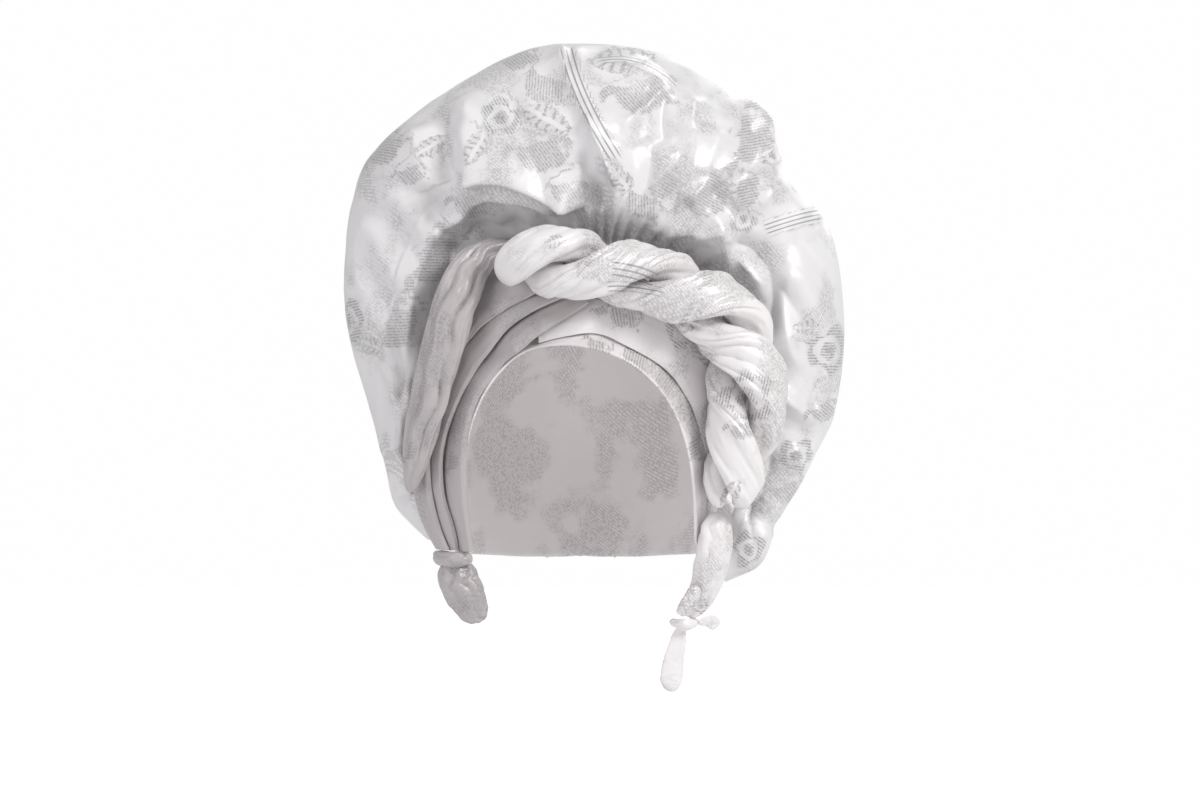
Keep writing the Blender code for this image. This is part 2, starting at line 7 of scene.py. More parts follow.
# %% Load the frame
from collections import namedtuple

import bmesh
import bpy
import numpy as np
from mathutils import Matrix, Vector
from mathutils.bvhtree import BVHTree


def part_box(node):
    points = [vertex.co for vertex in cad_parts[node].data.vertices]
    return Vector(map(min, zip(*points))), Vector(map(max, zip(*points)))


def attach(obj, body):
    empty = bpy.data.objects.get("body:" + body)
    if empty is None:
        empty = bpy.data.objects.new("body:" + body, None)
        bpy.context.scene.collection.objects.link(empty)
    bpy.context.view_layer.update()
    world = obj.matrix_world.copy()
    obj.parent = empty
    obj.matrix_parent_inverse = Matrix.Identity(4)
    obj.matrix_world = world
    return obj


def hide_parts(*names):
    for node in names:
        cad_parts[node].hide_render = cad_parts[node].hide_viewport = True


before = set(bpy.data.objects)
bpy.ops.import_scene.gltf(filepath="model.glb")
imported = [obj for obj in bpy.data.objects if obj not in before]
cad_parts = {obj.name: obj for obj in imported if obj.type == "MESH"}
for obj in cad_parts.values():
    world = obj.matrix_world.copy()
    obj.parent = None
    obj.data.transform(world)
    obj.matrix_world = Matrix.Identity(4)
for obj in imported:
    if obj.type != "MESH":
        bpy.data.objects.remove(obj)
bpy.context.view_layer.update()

# %% [markdown]
# ## Sizes and tables
# The front view of the photograph is laid out in squares of 0.57 mm, one for each of its pixels, with the
# crown of the head at the origin. The same sizes gave the solids their shape, so the cloth lies on them.
# A table has one row for each section of a piece, and a smooth curve runs through its rows. That is easier
# to correct than a mesh drawn by hand: one row moves one place.

# %% Sizes
PIXEL = 0.00057
MIDDLE_PIXEL = 580
CROWN_PIXEL = 298
HEAD_WIDTH = 0.150
HEAD_DEPTH = 0.188
CROWN_RISE = 0.095
NAPE_DROP = 0.130
CLOTH = 0.0020
GAP = 0.00035
FAN_REACH = 0.145
FAN_RISE = 0.145
FAN_BULGE = 0.062
FAN_SHOULDER = 0.048
BACK_REACH = 0.085
BACK_SAG = 0.052
HEM_TURN = np.radians(102)
HEM_SIDE_DROP = 0.132
HEM_NAPE_DROP = 0.148
BACK_PLEATS = 10
BACK_PLEAT_HEIGHT = 0.006
THIN = 0.0013
MERGE = 0.00001
HEAD_MIDDLE = np.array((0, 0, -CROWN_RISE))


def front(px, py):
    """Turns a place in the photograph into metres across and up."""
    return np.array(((px - MIDDLE_PIXEL) * PIXEL, (CROWN_PIXEL - py) * PIXEL))


# %% Reading a table on a smooth curve
def through(rows, share):
    """Reads a table at shares of its length, on a Catmull-Rom curve through its rows."""
    values = np.array(rows, float)
    last = len(values) - 1
    place = np.clip(np.asarray(share, float), 0, 1) * last
    first = np.minimum(place.astype(int), last - 1)
    t = (place - first)[..., None]
    before = values[np.maximum(first - 1, 0)]
    start = values[first]
    end = values[first + 1]
    after = values[np.minimum(first + 2, last)]
    bend = 2 * before - 5 * start + 4 * end - after
    twist = 3 * start - before - 3 * end + after
    return (2 * start + (end - before) * t + bend * t ** 2 + twist * t ** 3) / 2


def ease(low, high, value):
    """Rises smoothly from 0 at low to 1 at high."""
    share = np.clip((value - low) / (high - low), 0, 1)
    return share * share * (3 - 2 * share)


def between(low, high, share):
    """Rises from 0 at low to 1 at high, and falls back in the same way at the other end of a share."""
    return ease(low, high, share) * ease(low, high, 1 - share)


def ripple(places, seed, waves, reach):
    """Adds up a few seeded waves into a soft uneven pattern over two arrays of places."""
    rng = np.random.default_rng(seed)
    across, along = places
    total = np.zeros_like(across)
    for _ in range(waves):
        turn = rng.uniform(0, 2 * np.pi)
        length = reach * rng.uniform(0.6, 1.6)
        start = rng.uniform(0, 6.28)
        run = across * np.cos(turn) + along * np.sin(turn)
        total += np.sin(run * 2 * np.pi / length + start)
    return total / waves


# %% [markdown]
# ## The fan's form
# On the real thing the fan is the loose end of the cloth, opened out like a hand and tucked in at the nape.
# It could be modelled by pushing at a ball. Here each place round its rim has a curve from the knot out to
# the rim, and a second one from the rim back and down to the hem. The pouf then has the photo's outline by
# construction, and the folds can be laid on it afterwards.

# %% The fan's table
FanRow = namedtuple("FanRow", "rim_x rim_z start_x start_z start_depth rim_depth")
FAN_ROWS = (
    FanRow(-0.600, -0.950, -0.520, -0.950, -0.14, 0.04),
    FanRow(-0.668, -0.885, -0.585, -0.870, -0.16, 0.06),
    FanRow(-0.735, -0.800, -0.655, -0.750, -0.17, 0.08),
    FanRow(-0.778, -0.617, -0.680, -0.558, -0.18, 0.05),
    FanRow(-0.888, -0.248, -0.629, -0.291, -0.24, 0.10),
    FanRow(-0.928, 0.039, -0.560, 0.008, -0.28, 0.12),
    FanRow(-0.873, 0.472, -0.450, 0.250, -0.30, 0.12),
    FanRow(-0.696, 0.688, -0.250, 0.292, -0.32, 0.10),
    FanRow(-0.440, 0.865, -0.079, 0.262, -0.38, 0.06),
    FanRow(-0.185, 0.983, 0.020, 0.235, -0.42, 0.02),
    FanRow(0.059, 0.998, 0.079, 0.230, -0.44, 0.00),
    FanRow(0.275, 0.971, 0.134, 0.225, -0.44, 0.02),
    FanRow(0.507, 0.892, 0.204, 0.215, -0.42, 0.06),
    FanRow(0.668, 0.755, 0.299, 0.195, -0.38, 0.10),
    FanRow(0.861, 0.460, 0.409, 0.150, -0.32, 0.12),
    FanRow(0.990, 0.248, 0.540, 0.070, -0.24, 0.12),
    FanRow(1.042, -0.126, 0.650, -0.100, -0.18, 0.12),
    FanRow(1.006, -0.440, 0.700, -0.342, -0.14, 0.10),
    FanRow(0.900, -0.656, 0.676, -0.519, -0.10, 0.08),
    FanRow(0.767, -0.873, 0.629, -0.715, -0.08, 0.05),
    FanRow(0.711, -1.038, 0.590, -0.932, -0.08, 0.02),
    FanRow(0.574, -1.116, 0.535, -1.077, -0.10, 0.00),
)


FULL_BULGE = 1.6
BULGE_PLACE = 0.30
SIDE_FULLNESS = 0.42
FULLNESS_POWER = 0.6
LONGEST_REACH = 0.55
LONGEST_SAG = 0.38


def join(x, y, z):
    """Puts three arrays together as points."""
    return np.stack(np.broadcast_arrays(x, y, z), axis=-1)


def bezier(points, share):
    """Reads cubic curves through their four control points."""
    t = share[..., None]
    a, b, c, d = points
    return a * (1 - t) ** 3 + 3 * b * (1 - t) ** 2 * t + 3 * c * (1 - t) * t ** 2 + d * t ** 3


def wrap_point(direction, lift):
    """Scales unit directions from the middle of the head to the wrap's form, grown by a lift."""
    rise = np.where(direction[..., 2] > 0, CROWN_RISE, NAPE_DROP) + lift
    x = direction[..., 0] * (HEAD_WIDTH / 2 + lift)
    y = direction[..., 1] * (HEAD_DEPTH / 2 + lift)
    return join(x, y, direction[..., 2] * rise - CROWN_RISE)


def fan_base(around, along):
    """Gives the fan's smooth form: the front on the first half of along, the back on the second."""
    row = through(FAN_ROWS, around)
    half = HEAD_DEPTH / 2
    start = join(row[..., 2] * FAN_REACH, row[..., 4] * half, row[..., 3] * FAN_RISE)
    rim = join(row[..., 0] * FAN_REACH, row[..., 5] * half, row[..., 1] * FAN_RISE)
    run = rim - start
    width = np.hypot(run[..., 0], run[..., 2])
    swell = np.minimum(width / FAN_REACH * FULL_BULGE, 1)
    zero = np.zeros_like(width)
    first = start + run * BULGE_PLACE + join(zero, -FAN_BULGE * swell, zero)
    second = rim + join(zero, -FAN_SHOULDER * swell, zero)
    ahead = bezier((start, first, second, rim), np.clip(along * 2, 0, 1))
    turn = HEM_TURN + (2 * np.pi - 2 * HEM_TURN) * around
    drop = HEM_SIDE_DROP + (HEM_NAPE_DROP - HEM_SIDE_DROP) * np.sin(np.pi * around)
    lift = 2 * CLOTH + GAP
    level = (drop - CROWN_RISE) / (NAPE_DROP + lift)
    flat = np.sqrt(1 - level ** 2)
    hem = wrap_point(join(-np.sin(turn) * flat, -np.cos(turn) * flat, -level), lift)
    away = hem * np.array((1, 1, 0))
    away /= np.linalg.norm(away, axis=-1, keepdims=True)
    fullness = SIDE_FULLNESS + (1 - SIDE_FULLNESS) * np.sin(np.pi * around) ** FULLNESS_POWER
    span = np.linalg.norm(hem - rim, axis=-1)
    reach = np.minimum(BACK_REACH * fullness, span * LONGEST_REACH)
    sag = np.minimum(BACK_SAG * fullness, span * LONGEST_SAG)
    third = rim + join(zero, reach, zero)
    fourth = hem + away * sag[..., None] + join(zero, zero, sag)
    behind = bezier((rim, third, fourth, hem), np.clip(along * 2 - 1, 0, 1))
    return np.where((along <= 0.5)[..., None], ahead, behind)


# %% [markdown]
# ## Folds
# Each fold of the photo is one row: three places that it runs through, its height, how wide it is to the
# left and right of its run, and how far its crest leans over to its right. A fold with a narrow side is a
# crease, one with two wide sides is a soft swell, and a negative height is a valley. A crest that leans
# throws the dark line under it that stiff satin shows.

# %% The fan's folds
Fold = namedtuple("Fold", "x1 y1 x2 y2 x3 y3 height left right lean")
FAN_FOLDS = (
    # The big left lobe and the creases under it
    Fold(458, 178, 520, 172, 586, 206, 9.0, 26, 7, 0.9),
    Fold(462, 204, 520, 212, 582, 228, -6.0, 7, 7, 0.0),
    Fold(440, 236, 500, 196, 574, 222, 6.0, 7, 8, 0.3),
    Fold(452, 108, 446, 150, 462, 184, -6.0, 14, 10, 0.0),
    Fold(480, 96, 470, 135, 486, 165, 4.0, 14, 12, 0.0),
    Fold(412, 128, 424, 160, 420, 190, 5.0, 16, 16, 0.0),
    # The left face
    Fold(462, 196, 410, 235, 394, 330, -6.5, 16, 14, 0.0),
    Fold(430, 215, 404, 260, 388, 340, 4.5, 10, 12, 0.0),
    Fold(376, 215, 360, 250, 366, 300, 3.5, 9, 12, 0.0),
    Fold(444, 225, 420, 275, 408, 350, 4.0, 9, 9, 0.0),
    Fold(362, 356, 386, 400, 408, 386, -4.0, 8, 8, 0.0),
    Fold(392, 380, 396, 420, 398, 460, 3.5, 8, 8, 0.0),
    # Creases down to the knot
    Fold(578, 150, 590, 180, 598, 216, -6.0, 5, 6, 0.3),
    Fold(588, 118, 602, 150, 618, 187, 5.0, 9, 4, 0.5),
    Fold(557, 47, 574, 100, 612, 176, 4.0, 6, 7, -0.5),
    Fold(578, 47, 594, 100, 624, 146, 4.0, 7, 5, 0.6),
    Fold(600, 158, 616, 186, 602, 214, 4.0, 5, 5, 0.0),
    # The satin facet and the ridges round it
    Fold(590, 74, 634, 76, 670, 95, 3.5, 6, 7, 0.2),
    Fold(670, 94, 648, 112, 622, 138, 4.5, 8, 5, 0.3),
    Fold(584, 56, 640, 52, 688, 94, -2.5, 5, 6, 0.0),
    Fold(668, 98, 664, 118, 668, 150, -5.0, 6, 8, 0.0),
    Fold(688, 98, 690, 140, 686, 188, 4.5, 10, 8, 0.0),
    Fold(650, 140, 652, 170, 640, 215, -3.5, 8, 8, 0.0),
    Fold(668, 150, 660, 185, 630, 225, 3.5, 8, 7, 0.0),
    # The ridge from the corner and the folds beside it
    Fold(744, 92, 758, 150, 744, 222, 7.5, 7, 10, -0.5),
    Fold(736, 116, 750, 165, 694, 210, -6.0, 7, 8, 0.0),
    Fold(738, 158, 712, 184, 684, 208, 5.0, 7, 6, 0.2),
    Fold(718, 132, 706, 160, 700, 180, 3.5, 9, 9, 0.0),
    Fold(600, 240, 650, 252, 690, 262, -4.0, 5, 5, 0.0),
    Fold(640, 226, 690, 236, 728, 226, 5.0, 8, 6, 0.0),
    # The right panel
    Fold(728, 224, 742, 262, 775, 286, 5.0, 12, 7, 0.4),
    Fold(724, 246, 770, 268, 762, 344, -9.5, 10, 16, 0.0),
    Fold(790, 262, 782, 320, 800, 372, 5.5, 10, 18, 0.0),
    Fold(756, 330, 776, 378, 828, 420, 6.5, 8, 9, 0.5),
    Fold(764, 352, 800, 392, 822, 402, -3.5, 7, 6, 0.0),
    Fold(812, 388, 826, 384, 840, 386, -2.2, 4, 4, 0.0),
    Fold(819, 216, 822, 232, 812, 248, -2.5, 5, 6, 0.0),
    Fold(770, 180, 788, 205, 806, 222, 3.0, 12, 12, 0.0),
    # The lower right
    Fold(792, 440, 790, 480, 758, 520, 4.0, 10, 10, 0.0),
    Fold(770, 450, 764, 490, 742, 520, -3.5, 7, 7, 0.0),
    Fold(770, 524, 752, 548, 740, 572, 3.0, 7, 7, 0.0),
)
FOLD_STEPS = 20
FOLD_GAIN = 1.45
CREST = 1.15
END_SHARE = 0.2
END_FADE = (-0.02, 0.16)


def creased(phase):
    """Gives rounded ridges at 0 with sharp valleys at -1 between them."""
    return np.abs(np.sin(phase / 2)) ** 0.7 - 1


def fold_places(fold):
    """Gives the points of a fold's run in metres, on a smooth bow through its three places."""
    t = np.linspace(0, 1, FOLD_STEPS + 1)[:, None]
    a, b, c = front(fold.x1, fold.y1), front(fold.x2, fold.y2), front(fold.x3, fold.y3)
    bow = 2 * b - (a + c) / 2
    return a * (1 - t) ** 2 + 2 * bow * t * (1 - t) + c * t ** 2


def nearest_run(points, run):
    """Gives each point's distance to a run, its side, and its share of the run's length."""
    best = np.full(points.shape[:-1], np.inf)
    side = np.ones_like(best)
    share = np.zeros_like(best)
    for step in range(len(run) - 1):
        a = run[step]
        way = run[step + 1] - a
        offset = points - a
        t = np.clip((offset @ way) / (way @ way), 0, 1)
        away = offset - t[..., None] * way
        distance = np.hypot(away[..., 0], away[..., 1])
        closer = distance < best
        best = np.where(closer, distance, best)
        cross = way[0] * offset[..., 1] - way[1] * offset[..., 0]
        side = np.where(closer, np.sign(cross), side)
        share = np.where(closer, (step + t) / (len(run) - 1), share)
    return best, side, share


def fold_field(places, folds):
    """Adds up the folds at places in the front view: their height, and the shift that their lean gives."""
    height = np.zeros(places.shape[:-1])
    shift = np.zeros(places.shape)
    for fold in folds:
        run = fold_places(fold)
        distance, side, share = nearest_run(places, run)
        width = np.where(side > 0, fold.left, fold.right) / 1000
        ends = END_SHARE + (1 - END_SHARE) * between(*END_FADE, share)
        amount = np.exp(-(distance / width) ** CREST) * ends * fold.height * FOLD_GAIN / 1000
        height += amount
        if fold.lean:
            way = run[-1] - run[0]
            right = np.array((way[1], -way[0])) / np.linalg.norm(way)
            shift += (amount * fold.lean)[..., None] * right
    return height, shift


# %% [markdown]
# ## From a grid to a sheet of cloth
# A sheet is a grid of points with a UV map in metres along its threads, so that the weave and the motifs
# keep their real size wherever the sheet goes. Subdividing a coarse cage would be quicker, but a fold is
# sharper where the grid itself is fine. Solidify then gives the grid the thickness of the cloth.

# %% Grids and sheets
def grid_normals(points):
    """Gives the unit normals of a grid of points."""
    across = np.gradient(points, axis=0)
    ahead = np.gradient(points, axis=1)
    normal = np.cross(across, ahead)
    length = np.linalg.norm(normal, axis=-1, keepdims=True)
    return normal / np.maximum(length, 1e-12)


def thread_lengths(points):
    """Gives a UV map in metres: lengths along both ways of a grid, measured from its middle."""
    steps = np.linalg.norm(np.diff(points, axis=0), axis=-1)
    across = np.concatenate((np.zeros((1, steps.shape[1])), np.cumsum(steps, axis=0)))
    across -= across[len(across) // 2]
    steps = np.linalg.norm(np.diff(points, axis=1), axis=-1)
    ahead = np.concatenate((np.zeros((steps.shape[0], 1)), np.cumsum(steps, axis=1)), axis=1)
    return np.stack((across, ahead), axis=-1)


def grid_mesh(name, points, uv, closed=False):
    """Makes a mesh from a grid of points, closed round its second way if asked, with its UV map."""
    columns, rows = points.shape[:2]
    index = np.arange(columns * rows).reshape(columns, rows)
    if closed:
        index = np.concatenate((index, index[:, :1]), axis=1)
        uv = np.concatenate((uv, 2 * uv[:, -1:] - uv[:, -2:-1]), axis=1)
    quads = np.stack((index[:-1, :-1], index[1:, :-1], index[1:, 1:], index[:-1, 1:]), axis=-1)
    grid_uv = np.stack((uv[:-1, :-1], uv[1:, :-1], uv[1:, 1:], uv[:-1, 1:]), axis=2)
    mesh = bpy.data.meshes.new(name)
    mesh.from_pydata(points.reshape(-1, 3).tolist(), [], quads.reshape(-1, 4).tolist())
    layer = mesh.uv_layers.new(name="thread")
    layer.data.foreach_set("uv", grid_uv.astype(np.float32).ravel())
    mesh.shade_smooth()
    return mesh


def finish_grid(mesh, solid):
    """Merges doubled points at seams and poles, and turns the faces outward."""
    bm = bmesh.new()
    bm.from_mesh(mesh)
    bmesh.ops.remove_doubles(bm, verts=bm.verts, dist=MERGE)
    bm.normal_update()
    middle = Vector(HEAD_MIDDLE)
    if solid:
        total = bm.calc_volume(signed=True)
    else:
        total = sum(face.normal.dot(face.calc_center_median() - middle) * face.calc_area()
                    for face in bm.faces)
    if total < 0:
        bmesh.ops.reverse_faces(bm, faces=bm.faces)
    bm.to_mesh(mesh)
    bm.free()


def vertex_values(values, name):
    """Reads one vector of each point of a mesh."""
    flat = np.empty(len(values) * 3, np.float32)
    values.foreach_get(name, flat)
    return flat.reshape(-1, 3).astype(float)


def facing(mesh):
    """Tells how far each point looks to the front, from 0 to 1."""
    return ease(0.05, 0.40, -vertex_values(mesh.vertex_normals, "vector")[:, 1])


def add_piece(name, mesh, nodes, material):
    """Puts a finished mesh in the scene and lets it stand for its solids."""
    piece = bpy.data.objects.new(name, mesh)
    bpy.context.scene.collection.objects.link(piece)
    mesh.materials.append(material)
    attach(piece, "root")
    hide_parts(*nodes)
    return piece


def thicken(piece):
    """Gives a sheet the thickness of its cloth, inward from its grid."""
    wall = piece.modifiers.new("Cloth wall", "SOLIDIFY")
    wall.thickness = THIN
    wall.offset = -1


def cloth_area(piece):
    """Measures one side of a sheet."""
    return sum(face.area for face in piece.data.polygons)


# %% [markdown]
# ## The pattern in the cloth
# A brocade's silver figures are woven in, so they follow the cloth into its folds. Painting an image would
# tie them to one view. Here a point attribute holds each point's place inside the nearest figure, and the
# shader draws petals, leaves and twill from it. The visible figures stand where the photo shows them, and
# the back of the fan has the same ones in a plain half-drop repeat.

# %% Figures and line groups
Figure = namedtuple("Figure", "px py radius turn kind")
FLOWER, LEAF, TWILL = 0.0, 1.0, 2.0
FAN_FIGURES = (
    Figure(502, 122, 26, 10, FLOWER),
    Figure(544, 92, 34, -25, TWILL),
    Figure(545, 122, 30, -30, LEAF),
    Figure(540, 160, 36, 15, TWILL),
    Figure(518, 62, 24, 25, TWILL),
    Figure(480, 150, 22, 60, LEAF),
    Figure(386, 152, 28, 55, TWILL),
    Figure(412, 178, 20, 20, TWILL),
    Figure(640, 100, 40, 20, TWILL),
    Figure(432, 150, 20, 30, LEAF),
    Figure(348, 322, 26, 80, FLOWER),
    Figure(372, 345, 18, -20, LEAF),
    Figure(436, 262, 40, 68, TWILL),
    Figure(472, 208, 26, 10, TWILL),
    Figure(618, 182, 22, -50, LEAF),
    Figure(640, 208, 26, -20, TWILL),
    Figure(662, 190, 24, 40, TWILL),
    Figure(566, 196, 24, 10, TWILL),
    Figure(400, 330, 34, 70, TWILL),
    Figure(622, 62, 34, 8, LEAF),
    Figure(706, 200, 40, 40, TWILL),
    Figure(752, 142, 42, 80, TWILL),
    Figure(744, 196, 26, 80, TWILL),
    Figure(771, 158, 15, 20, FLOWER),
    Figure(742, 222, 18, 0, FLOWER),
    Figure(827, 350, 30, 70, FLOWER),
    Figure(806, 328, 16, 0, LEAF),
    Figure(732, 300, 26, -40, LEAF),
    Figure(822, 412, 20, 30, TWILL),
    Figure(796, 455, 22, 60, FLOWER),
    Figure(786, 492, 22, 20, TWILL),
    Figure(752, 500, 20, -30, LEAF),
    Figure(748, 548, 22, 30, FLOWER),
)
LineGroup = namedtuple("LineGroup", "x1 y1 x2 y2 x3 y3 lines spacing")
FAN_LINES = (
    LineGroup(566, 48, 583, 104, 618, 168, 3, 3.0),
    LineGroup(762, 232, 792, 222, 822, 214, 4, 2.4),
    LineGroup(596, 66, 640, 66, 678, 92, 2, 2.0),
)
REPEAT = 0.078
REPEAT_FIGURE = 0.30
HATCH = 0.0018
SLANT = 0.4
FIGURE_EDGE = (1.0, 1.2)
LINE_FADE = 0.06


def mark_figures(mesh, places, figures, lattice=None, visible=1.0):
    """Stores each point's place in its nearest figure, its kind, its nearness and its hatch lines."""
    flat = places.reshape(-1, 2)
    seen = np.broadcast_to(visible, len(flat)).copy()
    local = np.zeros((len(flat), 3))
    phase = np.zeros(len(flat))
    best = np.full(len(flat), 99.0)
    for figure in figures:
        turn = np.radians(figure.turn)
        offset = (flat - front(figure.px, figure.py)) / (figure.radius * PIXEL)
        a = offset[:, 0] * np.cos(turn) + offset[:, 1] * np.sin(turn)
        b = offset[:, 1] * np.cos(turn) - offset[:, 0] * np.sin(turn)
        distance = np.hypot(a, b)
        closer = distance < best
        best = np.where(closer, distance, best)
        local[closer] = np.stack((a, b, np.full_like(a, figure.kind)), axis=-1)[closer]
        phase[closer] = ((a + SLANT * b) * figure.radius * PIXEL / HATCH)[closer]
    if lattice is not None:
        cells, behind = lattice
        column = np.round(cells[:, 0] / REPEAT)
        shifted = cells[:, 1] / REPEAT + 0.5 * np.mod(column, 2)
        row = np.round(shifted)
        turn = column * 2.4 + row * 1.7
        offset = np.stack((cells[:, 0] / REPEAT - column, shifted - row), axis=-1) / REPEAT_FIGURE
        a = offset[:, 0] * np.cos(turn) + offset[:, 1] * np.sin(turn)
        b = offset[:, 1] * np.cos(turn) - offset[:, 0] * np.sin(turn)
        closer = (np.hypot(a, b) < best) & behind
        local[closer] = np.stack((a, b, np.mod(column + 2 * row, 3)), axis=-1)[closer]
        phase[closer] = ((a + SLANT * b) * REPEAT * REPEAT_FIGURE / HATCH)[closer]
        best[closer] = np.hypot(a, b)[closer]
        seen[closer] = 1
    motif = mesh.attributes.new("motif", "FLOAT_VECTOR", "POINT")
    motif.data.foreach_set("vector", local.astype(np.float32).ravel())
    near = (1 - ease(*FIGURE_EDGE, best)) * seen
    woven = mesh.attributes.new("woven", "FLOAT_VECTOR", "POINT")
    woven.data.foreach_set("vector", np.stack((near, phase, phase), axis=-1).astype(np.float32).ravel())


def mark_lines(mesh, places, groups, visible=1.0):
    """Stores each point's distance to the thin woven lines, counted in their spacing."""
    flat = places.reshape(-1, 2)
    stripe = np.zeros((len(flat), 3))
    stripe[:, 0] = 0.5
    for group in groups:
        run = fold_places(group)
        distance, side, share = nearest_run(flat, run)
        count = distance * side / (group.spacing / 1000)
        inside = 1 - ease(group.lines / 2 - 0.05, group.lines / 2 + 0.25, np.abs(count))
        inside *= between(0, LINE_FADE, share) * visible
        take = inside > stripe[:, 1]
        stripe[take, 0] = count[take]
        stripe[take, 1] = inside[take]
    line = mesh.attributes.new("stripe", "FLOAT_VECTOR", "POINT")
    line.data.foreach_set("vector", stripe.astype(np.float32).ravel())


# %% [markdown]
# ## Satin, thread and silver
# The ground is a white satin with a soft gloss. The figures are silver thread: greyer, more metallic and
# hatched by the weave. Each effect is a node group, so that every material can use it with its own values.

# %% A short way to write shader maths
class Graph:
    """Adds nodes to a tree and links them, so that a shader reads like a sum."""

    def __init__(self, tree):
        self.tree = tree

    def feed(self, socket, value):
        if isinstance(value, bpy.types.NodeSocket):
            self.tree.links.new(value, socket)
        elif value is not None:
            socket.default_value = value

    def math(self, operation, a, b=None, c=None, clamp=False):
        node = self.tree.nodes.new("ShaderNodeMath")
        node.operation = operation
        node.use_clamp = clamp
        for socket, value in zip(node.inputs, (a, b, c)):
            self.feed(socket, value)
        return node.outputs[0]

    def band(self, value, width):
        """Gives 1 where a value is near 0, and falls to 0 a width away."""
        node = self.tree.nodes.new("ShaderNodeMapRange")
        node.interpolation_type = "SMOOTHSTEP"
        self.feed(node.inputs["Value"], self.math("ABSOLUTE", value))
        node.inputs["From Min"].default_value = width * 0.5
        node.inputs["From Max"].default_value = width
        node.inputs["To Min"].default_value = 1
        node.inputs["To Max"].default_value = 0
        return node.outputs["Result"]

    def step(self, low, high, value):
        """Rises smoothly from 0 at low to 1 at high."""
        node = self.tree.nodes.new("ShaderNodeMapRange")
        node.interpolation_type = "SMOOTHSTEP"
        self.feed(node.inputs["Value"], value)
        node.inputs["From Min"].default_value = low
        node.inputs["From Max"].default_value = high
        return node.outputs["Result"]

    def split(self, vector):
        node = self.tree.nodes.new("ShaderNodeSeparateXYZ")
        self.feed(node.inputs[0], vector)
        return node.outputs

    def noise(self, vector, scale, detail=2.0):
        node = self.tree.nodes.new("ShaderNodeTexNoise")
        self.feed(node.inputs["Vector"], vector)
        node.inputs["Scale"].default_value = scale
        node.inputs["Detail"].default_value = detail
        return node.outputs["Fac"]

    def stretch(self, vector, scale):
        node = self.tree.nodes.new("ShaderNodeMapping")
        self.feed(node.inputs["Vector"], vector)
        node.inputs["Scale"].default_value = scale
        return node.outputs["Vector"]

    def mix(self, factor, a, b):
        node = self.tree.nodes.new("ShaderNodeMix")
        node.data_type = "RGBA"
        self.feed(node.inputs["Factor"], factor)
        self.feed(node.inputs["A"], a)
        self.feed(node.inputs["B"], b)
        return node.outputs["Result"]


def new_group(name, inputs, outputs):
    """Makes an empty node group with named sockets."""
    tree = bpy.data.node_groups.new(name, "ShaderNodeTree")
    for label, kind in inputs:
        tree.interface.new_socket(label, in_out="INPUT", socket_type=kind)
    for label, kind in outputs:
        tree.interface.new_socket(label, in_out="OUTPUT", socket_type=kind)
    start = tree.nodes.new("NodeGroupInput")
    end = tree.nodes.new("NodeGroupOutput")
    return Graph(tree), start.outputs, end.inputs


